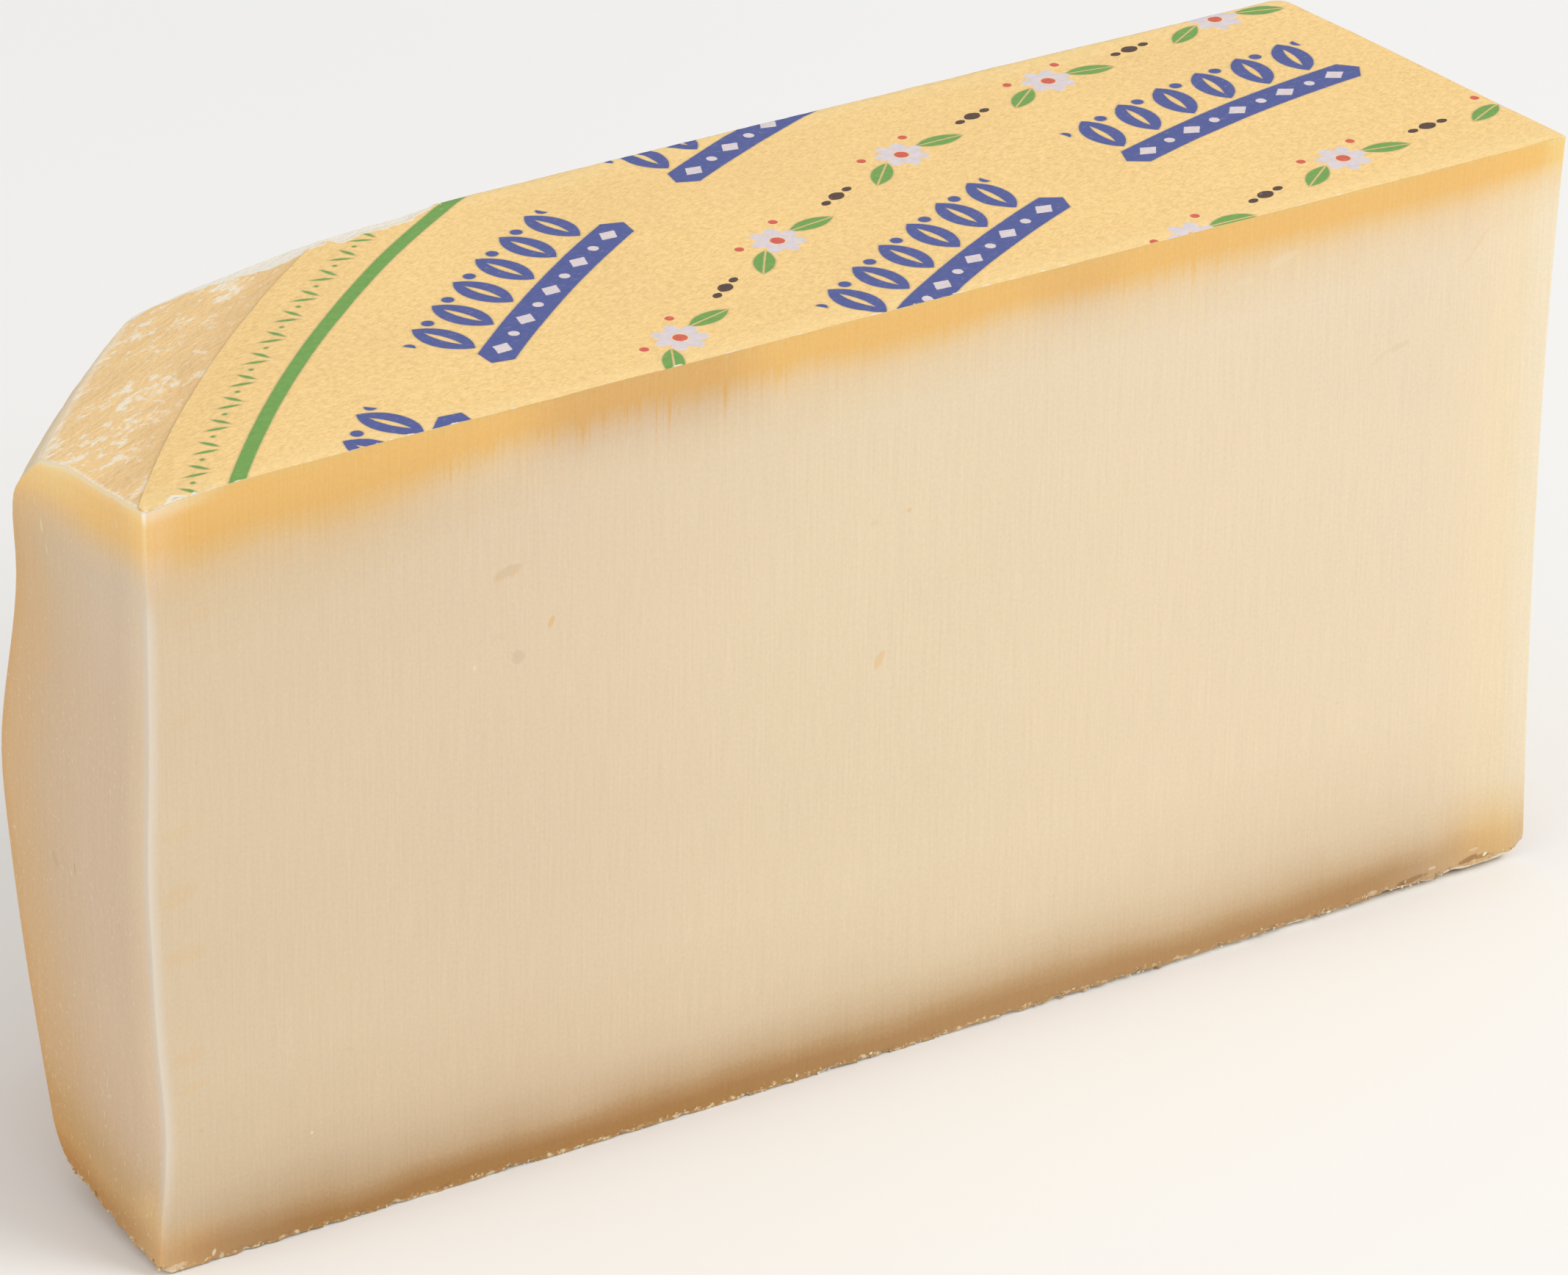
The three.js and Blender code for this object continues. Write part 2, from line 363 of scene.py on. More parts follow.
def top_sag(x, y):
    """How far the top falls towards the back cut, but for the end by the rim."""
    return TOP_SAG * smoothstep(y, *TOP_SAG_ACROSS) * smoothstep(x, *TOP_SAG_ALONG)


# ---- Relief ----

def lattice_noise(places, cell, seed):
    """Smooth noise from -1 to 1: hashed values at the corners of a lattice with the given
    cell, eased between the corners round each place."""
    spot = np.asarray(places) / np.asarray(cell, float)
    low = np.floor(spot).astype(np.int64)
    share = spot - low
    share = share * share * (3 - 2 * share)
    total = np.zeros(len(spot))
    for corner in np.ndindex(*[2] * spot.shape[1]):
        node = low + np.array(corner)
        mixed = np.full(len(spot), seed * 668265263, np.int64)
        for axis, prime in enumerate((73856093, 19349663, 83492791)[:spot.shape[1]]):
            mixed ^= node[:, axis] * prime
        mixed = (mixed ^ (mixed >> 13)) * 1274126177
        value = ((mixed ^ (mixed >> 16)) & 0xFFFF) / 32767.5 - 1
        weight = np.prod(np.where(np.array(corner) == 1, share, 1 - share), axis=1)
        total += weight * value
    return total


def octaves(places, cell, seed, count):
    """Noise summed over octaves, each half the size and half the strength of the last, over
    what the strengths of three of them come to."""
    total = 0
    for step in range(count):
        total = total + lattice_noise(places, np.asarray(cell, float) / 2 ** step, seed + step) / 2 ** step
    return total / 1.75


def layered(places, layers):
    """Noise summed over layers of strength, cell, seed and octaves."""
    return sum(strength * octaves(places, *layer) for strength, *layer in layers)


def along_line(x):
    """Places for noise that varies along the block alone."""
    return np.stack([x, x * 0], 1)


def top_swells(x, y):
    """The low swells that the label follows too."""
    return layered(np.stack([x, y], 1), TOP_SWELLS)


def strip_width(x):
    """Width of the broken strip on the back's top edge: read between the knots, with noise."""
    width = np.interp(x, list(STRIP_WIDTHS), list(STRIP_WIDTHS.values()), left=NO_STRIP)
    return width + layered(along_line(x), STRIP_NOISE)


# ---- Meshes ----

def crowded(spacing):
    """Places from the first knot to the last whose spacing follows the given
    {place: spacing} knots, read straight between them."""
    knots = list(spacing)
    fine = np.linspace(knots[0], knots[-1], 20001)
    per_step = 1 / np.interp(fine, knots, list(spacing.values()))
    steps = np.concatenate([[0], np.cumsum((per_step[1:] + per_step[:-1]) / 2 * np.diff(fine))])
    count = round(steps[-1])
    return np.interp(np.linspace(0, steps[-1], count + 1), steps, fine)


def six_sided_body(counts):
    """Surface of a box of counts cells, welded: whole-number places and outward quads."""
    places = []
    quads = []
    start = 0
    for fixed in range(3):
        first = (fixed + 1) % 3
        second = (fixed + 2) % 3
        for end in (0, 1):
            a, b = np.meshgrid(np.arange(counts[first] + 1), np.arange(counts[second] + 1),
                               indexing="ij")
            place = np.zeros((*a.shape, 3), int)
            place[..., fixed] = end * counts[fixed]
            place[..., first] = a
            place[..., second] = b
            index = start + np.arange(a.size).reshape(a.shape)
            corners = [index[:-1, :-1], index[1:, :-1], index[1:, 1:], index[:-1, 1:]]
            if end == 0:
                corners.reverse()
            places.append(place.reshape(-1, 3))
            quads.append(np.stack(corners, -1).reshape(-1, 4))
            start += a.size
    places = np.concatenate(places)
    key = (places[:, 0] * (counts[1] + 1) + places[:, 1]) * (counts[2] + 1) + places[:, 2]
    _, kept, welded = np.unique(key, return_index=True, return_inverse=True)
    return places[kept], welded.reshape(-1)[np.concatenate(quads)]


def graded_body(spacings, more_counts, wanted_share):
    """A six-sided body with crowded stations: its whole-number places, its quads, its
    places and sizes in millimetres, and the station nearest a share of the first size."""
    stations = [crowded(spacing) for spacing in spacings]
    sizes = np.array([each[-1] for each in stations])
    places, quads = six_sided_body([len(each) - 1 for each in stations] + more_counts)
    spots = np.stack([each[places[:, axis]] for axis, each in enumerate(stations)], 1)
    shares = stations[0] / sizes[0]
    return places, quads, spots, sizes, shares[np.abs(shares - wanted_share).argmin()]


def outward(points, quads):
    """Unit normal at every vertex: the mean of its faces' normals, by area."""
    across = np.cross(points[quads[:, 2]] - points[quads[:, 0]], points[quads[:, 3]] - points[quads[:, 1]])
    total = np.zeros_like(points)
    for corner in range(4):
        np.add.at(total, quads[:, corner], across)
    return total / np.maximum(1e-12, np.linalg.norm(total, axis=1))[:, None]


def to_frame(points):
    """From millimetres in the cuts' frame to metres in the CAD frame."""
    return (points + FRAME_SHIFT) * MM


def new_piece(name, points, faces, attributes, finishes, finish_of_face=None):
    """A mesh object at the origin from millimetre points, with its float attributes and
    the number of each face's finish."""
    mesh = bpy.data.meshes.new(name)
    count, sides = faces.shape
    mesh.vertices.add(len(points))
    mesh.vertices.foreach_set("co", to_frame(points).ravel())
    mesh.loops.add(count * sides)
    mesh.loops.foreach_set("vertex_index", faces.ravel())
    mesh.polygons.add(count)
    mesh.polygons.foreach_set("loop_start", np.arange(count) * sides)
    for finish in finishes:
        mesh.materials.append(finish)
    if finish_of_face is not None:
        mesh.polygons.foreach_set("material_index", finish_of_face)
    mesh.update(calc_edges=True)
    mesh.polygons.foreach_set("use_smooth", np.ones(count, bool))
    for key, values in attributes.items():
        layer = mesh.attributes.new(key, "FLOAT", "POINT")
        layer.data.foreach_set("value", np.asarray(values, np.float32))
    if mesh.validate(verbose=False):
        raise RuntimeError(f"the mesh of {name} had faults")
    piece = in_scene(name, mesh)
    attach(piece, BODY)
    return piece


def in_scene(name, data):
    """An object of the given data, linked into the scene."""
    made = bpy.data.objects.new(name, data)
    bpy.context.scene.collection.objects.link(made)
    return made


# ---- Materials, written as sums ----

def sum_by(operation, swapped=False):
    """A method that adds the node for an operation on a Value and another number."""
    def work_out(value, other):
        pair = (other, value) if swapped else (value, other)
        return value.finish.math(operation, *pair)
    return work_out


class Value:
    """A number that a material's nodes work out. Each sum written with it adds a node."""

    __add__ = __radd__ = sum_by("ADD")
    __mul__ = __rmul__ = sum_by("MULTIPLY")
    __sub__ = sum_by("SUBTRACT")
    __rsub__ = sum_by("SUBTRACT", swapped=True)
    __truediv__ = sum_by("DIVIDE")

    def __init__(self, finish, socket):
        self.finish = finish
        self.socket = socket

    def __abs__(self):
        return self.finish.math("ABSOLUTE", self)


# How far light wanders under a waxy surface by red, green and blue, against its depth.
LIGHT_WANDER = (1.0, 0.55, 0.25)


class Finish:
    """A material in the making. Each call adds a node and returns its output."""

    def __init__(self, name):
        self.material = bpy.data.materials.new(name)
        self.material.use_nodes = True
        self.nodes = self.material.node_tree.nodes
        self.links = self.material.node_tree.links
        self.shader = self.nodes["Principled BSDF"]
        shift = {0: self.node("ShaderNodeTexCoord").outputs["Object"], 1: (1 / MM,) * 3, 2: -FRAME_SHIFT}
        self.place = self.node("ShaderNodeVectorMath", shift, operation="MULTIPLY_ADD").outputs["Vector"]
        split = self.node("ShaderNodeSeparateXYZ", {0: self.place})
        self.x, self.y, self.z = (Value(self, output) for output in split.outputs)

    def feed(self, node, inputs):
        """Links or sets a node's inputs, given by name or number; a colour gets its alpha."""
        for key, value in inputs.items():
            socket = node.inputs[key]
            if isinstance(value, Value):
                value = value.socket
            if isinstance(value, bpy.types.NodeSocket):
                self.links.new(value, socket)
            elif hasattr(value, "__len__"):
                socket.default_value = (*value, 1)[:len(socket.default_value)]
            else:
                socket.default_value = value

    def node(self, kind, inputs=None, **settings):
        made = self.nodes.new(kind)
        for key, value in settings.items():
            setattr(made, key, value)
        self.feed(made, inputs or {})
        return made

    def math(self, operation, *values, clamp=False):
        made = self.node("ShaderNodeMath", dict(enumerate(values)), operation=operation, use_clamp=clamp)
        return Value(self, made.outputs[0])

    def most(self, first, second):
        return self.math("MAXIMUM", first, second)

    def least(self, first, second):
        return self.math("MINIMUM", first, second)

    def wrap(self, value, period):
        """The value less whole periods, between minus and plus half a period."""
        return self.math("WRAP", value, period / 2, -period / 2)

    def hypot(self, first, second):
        pair = self.node("ShaderNodeCombineXYZ", {0: first, 1: second}).outputs[0]
        return Value(self, self.node("ShaderNodeVectorMath", {0: pair}, operation="LENGTH").outputs["Value"])

    def attribute(self, name):
        return Value(self, self.node("ShaderNodeAttribute", attribute_name=name).outputs["Fac"])

    def noise(self, sizes, detail=1.0, roughness=0.5, turn=0.0):
        """Noise about 0, mostly between -0.5 and 0.5, in lumps of about the given sizes
        along axes turned about the upright by turn degrees."""
        if turn:
            where = {0: self.place, "Rotation": (0, 0, math.radians(turn)), "Scale": sizes}
            where = self.node("ShaderNodeMapping", where, vector_type="TEXTURE")
        else:
            where = {0: self.place, 1: [1 / size for size in sizes]}
            where = self.node("ShaderNodeVectorMath", where, operation="MULTIPLY")
        looks = {"Vector": where.outputs[0], "Scale": 1.0, "Detail": detail, "Roughness": roughness}
        return Value(self, self.node("ShaderNodeTexNoise", looks).outputs["Fac"]) - 0.5

    def ease(self, value, low, high):
        """0 up to low and 1 from high on, eased between them; low may be over high."""
        falls = low > high
        ends = {"Value": value, "From Min": min(low, high), "From Max": max(low, high),
                "To Min": float(falls), "To Max": float(not falls)}
        made = self.node("ShaderNodeMapRange", ends, interpolation_type="SMOOTHSTEP")
        return Value(self, made.outputs["Result"])

    def ramp(self, value, stops):
        """Colour by a value from 0 to the last stop's; stops are (value, colour)."""
        reach = stops[-1][0]
        made = self.node("ShaderNodeValToRGB", {0: self.math("DIVIDE", value, reach, clamp=True)})
        bands = made.color_ramp.elements
        while len(bands) < len(stops):
            bands.new(0.5)
        for band, (at, colour) in zip(bands, stops):
            band.position = at / reach
            band.color = (*colour, 1)
        return made.outputs["Color"]

    def mix(self, share, first, second, blend="MIX"):
        pair = {0: share, 6: first, 7: second}
        return self.node("ShaderNodeMix", pair, data_type="RGBA", blend_type=blend).outputs[2]

    def tinted(self, colour, tint, share=1.0):
        """Colour times a tint, for the given share of it."""
        return self.mix(share, colour, tint, "MULTIPLY")

    def scaled(self, colour, by):
        made = self.node("ShaderNodeVectorMath", {0: colour, "Scale": by}, operation="SCALE")
        return made.outputs["Vector"]

    def bump(self, height, distance):
        """Bump from a height in the given distance's units."""
        made = self.node("ShaderNodeBump", {"Strength": 1.0, "Distance": distance, "Height": height})
        self.feed(self.shader, {"Normal": made.outputs["Normal"]})

    def surface(self, colour, roughness, specular=0.5):
        self.feed(self.shader, {"Base Color": colour, "Roughness": roughness, "Specular IOR Level": specular})

    def translucent(self, weight, depth):
        """Lets light wander under the surface, red furthest, to about the given depth."""
        self.feed(self.shader, {"Subsurface Weight": weight, "Subsurface Radius": LIGHT_WANDER,
                                "Subsurface Scale": depth})


# ---- The cheese ----

# Spacing of the mesh's stations, in millimetres, by place along each direction.
CHEESE_ALONG = {0: 0.12, 1: 0.3, 4: 0.62, 190: 0.62, 213: 0.5, 217: 0.25, 218: 0.12}
CHEESE_ACROSS = {0: 0.12, 1: 0.3, 5: 2.0, 51: 2.0, 54: 0.45, 58: 0.35, 59.3: 0.12}
CHEESE_UP = {0: 0.12, 1: 0.25, 4: 0.6, 14: 1.5, 40: 4.0, 95: 3.0, 104: 1.2, 109: 0.5, 111: 0.12}
CHEESE_CURVE_SHARE = 0.118


def cheese_surface(shares, curve_share):
    """Plain surface of the block: the height is the share of the way from the underside to
    the top, and the place in plan is where the cuts and the rim are at that height."""
    along, across, up = shares.T

    def plan_at(height):
        return plan_point(along, across, curve_share, WHEEL_AXIS, rim_radius(height), height)

    low = underside(*plan_at(0.0))
    high = topside(*plan_at(WHEEL_HEIGHT))
    height = lerp(low, high, up)
    return np.stack([*plan_at(height), height], 1), low, high


def back_corner_rounded(spots, sizes):
    """Rounds the upright edge where the back and right cuts meet."""
    at_corner = (spots[:, :2] > sizes[:2] / 2).all(axis=1)
    radius = np.where(at_corner, BACK_CORNER_ROUNDING, 1e-4)[:, None]
    spots = spots.copy()
    spots[:, :2] = rounded(spots[:, :2], sizes[:2], radius)
    return spots


def rounded(spots, sizes, radius):
    """Rounds the edges of a box of the given sizes: what lies outside the box shrunk by
    the radius is drawn in to that distance from it."""
    inner = np.clip(spots, radius, sizes - radius)
    past = spots - inner
    reach = np.maximum(1e-9, np.linalg.norm(past, axis=1))[:, None]
    return inner + past / reach * np.minimum(reach, radius)


def cheese_relief(points, skin, above_base, under_top):
    """Millimetres to move each vertex outwards: swells on the rind, slight waves on the
    cuts, and a rough crumbled strip just above the lower edges."""
    on_top = skin * (under_top < 0.5)
    cloth = layered(points, RIND_CLOTH) - 0.12
    rough_top = layered(points, ROUGH_TOP) - 0.09
    waves = layered(points, CUT_WAVES) - 0.03
    crumbly = smoothstep(above_base, 1.1, 0.3)
    bits = np.minimum(0, layered(points, CRUMBLY_BITS) - 0.08)
    return skin * lerp(cloth, rough_top, on_top) + (1 - skin) * waves + crumbly * bits


def cheese_shape():
    """Points, quads, colour-driving attributes and each face's finish for the dressed block."""
    spacings = (CHEESE_ALONG, CHEESE_ACROSS, CHEESE_UP)
    _, quads, spots, sizes, curve_share = graded_body(spacings, [], CHEESE_CURVE_SHARE)
    looks = bpy.context.scene.cheese_paste
    radius = lerp(looks.foot_rounding, looks.top_rounding, spots[:, 2:] / sizes[2]) / MM
    shares = rounded(back_corner_rounded(spots, sizes), sizes, radius) / sizes
    points, low, high = cheese_surface(shares, curve_share)

    on_flat = (spots[:, 2] <= 0) | (spots[:, 2] >= sizes[2])
    on_rim = (spots[:, 1] >= sizes[1]) & (spots[:, 0] / sizes[0] <= curve_share + 1e-9)
    skin = (on_flat | on_rim).astype(float)
    above_base = points[:, 2] - low
    under_top = high - points[:, 2]
    relief = cheese_relief(points, skin, above_base, under_top)
    points = points + outward(points, quads) * relief[:, None]

    x, y, z = points.T
    on_top = smoothstep(under_top, 0.9, 0.3)
    points[:, 2] += on_top * top_swells(x, y)
    strip = np.clip(strip_width(x) - (back_cut(x) - y), -3, 3)
    lowered = STRIP_STEP * smoothstep(strip, 0, 0.5) + STRIP_SLOPE * np.maximum(0, strip)
    points[:, 2] -= on_top * lowered
    points = np.clip(points, *CAD_CORNERS)
    attributes = {
        "above_base": above_base,
        "under_top": under_top,
        "in_from_rim": rim_radius(z) - radius_at(x, y),
        "off_label": radius_at(x, y, LABEL_CENTRE) - LABEL_RADIUS,
        "off_left": x - left_cut(z),
        "off_right": right_cut(y, z) - x,
        "strip": strip,
        "gold_reach": gold_reach(x),
        "brown_and_shade_strength": brown_and_shade_strength(x, y),
        "drips": drips(x),
    }
    is_rind = skin[quads].min(axis=1) > 0.5
    has_mark = near_a_mark(points[quads].mean(axis=1))
    finish_of_face = np.where(is_rind, 1, np.where(has_mark, 2, 0))
    return points, quads, attributes, finish_of_face


def gold_reach(x):
    """How deep the golden border under the top goes along the block, against its usual."""
    left = 0.42 * smoothstep(x, 62, 20) - 0.12 * smoothstep(x, 9, 0)
    return 0.92 + left - 0.03 * bell(x - 135, 28) - 0.16 * smoothstep(x, 200, 216)


def brown_and_shade_strength(x, y):
    """The brown border above the underside, partly painted shade near the floor, is full but for the left end
    and the right half.
    """
    left_end = 0.2 * smoothstep(x, 26, 2) + 0.24 * bell(x, 5) * bell(y, 7)
    right_end = 0.46 * smoothstep(x, 190, 217) * smoothstep(y, 8, 2)
    return 1 - 0.1 * smoothstep(x, 70, 130) - left_end - right_end


def drips(x):
    """How much the wire dragged the golden border down along the block."""
    return np.maximum(window(x, 45, 96, 7), 0.5 * window(x, 128, 160, 14)) + 0.15


# Small marks on the front cut by colour: place along it, height, half length, half width,
# tilt in degrees and strength. On the left cut the first is the place into it.
TAN = (0.56, 0.40, 0.22)
CREAM = (0.84, 0.70, 0.50)
ORANGE = (0.76, 0.47, 0.20)
GREY = (0.60, 0.44, 0.31)
CHIP_BROWN = (0.30, 0.15, 0.055)
FRONT_MARKS = (
    (TAN, (
        (52.3, 88.2, 2.3, 0.75, 12, 0.32), (108.2, 80.9, 0.8, 0.5, 0, 0.14), (6.6, 20.0, 0.22, 0.2, 0, 0.5),
        (192.6, 86.0, 2.1, 0.5, 12, 0.15), (189.3, 84.9, 1.8, 0.35, 35, 0.1))),
    (ORANGE, (
        (53.3, 87.7, 0.7, 0.35, 30, 0.3), (50.9, 87.2, 0.8, 0.3, 10, 0.3), (58.8, 79.4, 0.95, 0.42, 62, 0.75),
        (109.4, 60.4, 1.4, 0.6, 62, 0.45), (113.6, 81.4, 0.4, 0.3, 0, 0.5), (205.0, 98.0, 3.4, 0.4, 50, 0.18),
        (3.8, 63.9, 2.6, 1.1, 10, 0.12), (3.9, 55.0, 2.8, 1.6, 15, 0.18), (4.6, 46.2, 3.2, 1.3, 8, 0.19),
        (4.6, 31.2, 2.4, 1.2, 10, 0.19), (5.6, 26.8, 2.4, 0.7, 10, 0.2), (4.4, 101.4, 2.0, 0.7, 8, 0.1),
        (6.6, 93.7, 3.0, 0.8, 10, 0.12), (11.1, 88.8, 3.6, 0.8, 12, 0.09), (5.0, 79.7, 2.2, 1.0, 20, 0.12))),
    (GREY, (
        (53.8, 75.6, 1.05, 1.0, 0, 0.45), (51.0, 79.2, 1.2, 0.6, 0, 0.15),
        (28.4, 25.6, 0.9, 0.22, -15, 0.3))),
    (CHIP_BROWN, (
        (199.9, 2.0, 2.7, 0.45, 6, 0.7), (198.3, 1.8, 1.0, 0.5, 0, 0.7), (209.7, 2.5, 1.6, 0.5, 10, 0.75),
        (212.2, 2.4, 1.3, 0.4, 0, 0.65), (42.9, 0.7, 0.9, 0.35, 10, 0.6))),
    (CREAM, (
        (47.3, 75.7, 0.3, 0.3, 0, 0.7), (172.5, 103.6, 2.6, 0.7, 12, 0.32), (166.5, 101.8, 1.6, 0.6, 0, 0.22),
        (203.4, 2.9, 0.7, 0.25, 0, 0.5), (210.6, 3.9, 0.9, 0.25, 0, 0.35), (193.2, 1.8, 0.9, 0.4, 0, 0.4),
        (22.8, 14.8, 0.26, 0.2, 0, 0.8), (8.1, 1.4, 0.55, 0.3, 70, 0.75), (2.2, 0.9, 1.9, 0.5, 8, 0.5))),
)
LEFT_MARKS = (
    (TAN, ((19.8, 50.9, 0.9, 0.22, 90, 0.75), (25.0, 49.8, 1.2, 0.7, 60, 0.4))),
    (CREAM, (
        (20.8, 49.7, 0.5, 0.14, 70, 0.8), (28.8, 99.2, 0.6, 0.2, 80, 0.6), (27.2, 96.4, 1.1, 0.28, 75, 0.7),
        (25.9, 93.6, 0.8, 0.2, 60, 0.5), (7.4, 105.1, 0.7, 0.25, 70, 0.55), (9.8, 106.3, 0.5, 0.2, 20, 0.5),
        (22.7, 93.3, 1.6, 0.15, 80, 0.3))),
)

# How far past a mark's own reach faces get the finish with marks, and how deep they lie.
MARK_MARGIN = 2.2
MARK_SPREAD = 1.7
MARK_DEPTH = 2.4


def near_a_mark(centres):
    """Which faces, by their centres, lie on the front or left cut within reach of a mark."""
    near = np.zeros(len(centres), bool)
    for marks, across, into in ((FRONT_MARKS, 0, 1), (LEFT_MARKS, 1, 0)):
        for place, height, half_length, *_ in (row for _, rows in marks for row in rows):
            off = centres[:, (across, 2)] - (place, height)
            reach = half_length * MARK_SPREAD + MARK_MARGIN
            near |= (np.abs(off).max(axis=1) < reach) & (centres[:, into] < MARK_DEPTH)
    return near


def marked(f, colour, ragged, near, across, marks):
    """Lays small ovals over the colour, with edges made ragged by noise."""
    for ink, rows in marks:
        for place, height, half_length, half_width, tilt, strength in rows:
            along, over = turned(across - place, f.z - height, tilt)
            inside = f.ease(f.hypot(along / half_length, over / half_width) + ragged, 1.15, 0.7)
            colour = f.mix(inside * near * strength, colour, ink)
    return colour


def turned(a, b, degrees):
    """The pair a, b as seen from axes turned by the degrees."""
    c = math.cos(math.radians(degrees))
    s = math.sin(math.radians(degrees))
    return a * c + b * s, b * c - a * s


# Tints of the paste by depth under the top, height above the underside and distance in
# from the rim, in millimetres. White is the plain paste.
# The first gold tint, a little paler, is a painted highlight along the top edge.
GOLD_TINTS = ((0.0, (1.0, 0.765, 0.36)), (1.2, (1.01, 0.73, 0.315)), (4.2, (1.0, 0.73, 0.325)),
              (6.2, (0.99, 0.81, 0.51)), (8.0, (0.99, 0.89, 0.73)), (10.5, (0.99, 0.95, 0.88)),
              (16.0, (1, 1, 1)))
# The tints by height above the underside are partly the brown paste near the rind and partly painted shade
# near the floor.
BROWN_AND_SHADE_TINTS = ((0.0, (0.53, 0.335, 0.145)), (0.9, (0.50, 0.315, 0.13)), (2.4, (0.505, 0.322, 0.143)),
               (4.4, (0.615, 0.462, 0.302)), (6.0, (0.718, 0.618, 0.505)), (8.5, (0.82, 0.76, 0.695)),
               (12.0, (0.905, 0.875, 0.85)), (17.0, (0.96, 0.945, 0.935)), (28.0, (1, 1, 1)))
RIM_TINTS = ((0.0, (0.97, 0.79, 0.50)), (1.6, (0.99, 0.87, 0.63)), (4.5, (0.98, 0.90, 0.71)),
             (8.0, (0.97, 0.94, 0.85)), (14.0, (1, 1, 1)))
# Painted shade: tints that darken the paste towards the rim, so towards the block's left end.
RIM_END_SHADE_TINTS = ((0.0, (0.88, 0.83, 0.78)), (25.0, (0.865, 0.832, 0.785)), (63.0, (0.905, 0.87, 0.845)),
             (101.0, (0.96, 0.955, 0.925)), (130.0, (0.985, 0.975, 0.96)), (150.0, (1, 1, 1)))
# Painted light: tints of the left cut by depth under the top, brighter at the top where light comes through,
# as shares of its gain; and a painted glow on the front cut by distance from the right cut, as shares of its
# gain.
LEFT_LIGHT_GAIN = 1.32
LEFT_LIGHT_TINTS = ((0.0, (0.91, 0.93, 0.99)), (5.0, (0.90, 0.92, 0.98)), (9.5, (0.82, 0.84, 0.92)),
              (13.0, (0.785, 0.80, 0.88)), (18.0, (0.785, 0.76, 0.79)), (30.0, (0.795, 0.74, 0.735)))
RIGHT_GLOW_GAIN = 1.15
RIGHT_GLOW_TINTS = ((0.0, (0.915, 0.955, 0.99)), (2.5, (0.91, 0.945, 0.95)), (5.0, (0.912, 0.915, 0.87)),
               (9.0, (0.912, 0.905, 0.87)), (14.0, (0.885, 0.88, 0.87)), (20.0, (0.87, 0.87, 0.87)))
# Tints of smaller parts: each row is a tint and its bounds, and a bound is a reading with
# where the tint starts and where it is full.
DULL_GOLD = (
    ((0.87, 0.845, 0.90), ("x", 50.0, 64.0), ("x", 94.0, 82.0), ("under_top", 13.0, 4.0)),
    ((0.948, 0.938, 0.96), ("x", 128.0, 137.0), ("x", 150.0, 141.0), ("under_top", 13.0, 4.0)),
)
# Painted light and shade across the left cut, from its front edge to its foot and top.
LEFT_LIGHT_PARTS = (
    ((1.12, 1.145, 1.13), ("y", 8.0, 0.3), ("z", 6.0, 26.0)),
    ((0.95, 0.955, 0.99), ("y", 13.0, 4.0), ("under_top", 17.0, 9.0)),
    ((1.03, 1.14, 1.36), ("y", 10.0, 24.0), ("under_top", 8.0, 3.0)),
    ((1.03, 1.10, 1.30), ("under_top", 2.6, 0.4)),
    ((1.0, 0.955, 0.76), ("above_base", 17.0, 6.0)),
    ((1.15, 1.15, 1.08), ("foot", 13.0, 7.0)),
)
# On the front cut, the first row is a painted glow at the top of the right end.
FRONT_PARTS = (
    ((1.0, 1.12, 1.32), ("off_right", 4.5, 1.0), ("under_top", 6.5, 3.5)),
    ((1.08, 0.975, 0.78), ("x", 14.0, 4.0), ("above_base", 9.0, 3.0)),
    ((1.05, 1.18, 1.7), ("x", 13.0, 5.0), ("under_top", 2.6, 0.6)),
)
PALE_RIDGE = (0.93, 0.84, 0.67)


def tinted_parts(f, colour, at, share, rows):
    """Tints each row's part of the colour, for the share times the row's eased bounds."""
    for tint, *bounds in rows:
        within = share
        for reading, start, full in bounds:
            within = within * f.ease(at[reading], start, full)
        colour = f.tinted(colour, tint, within)
    return colour


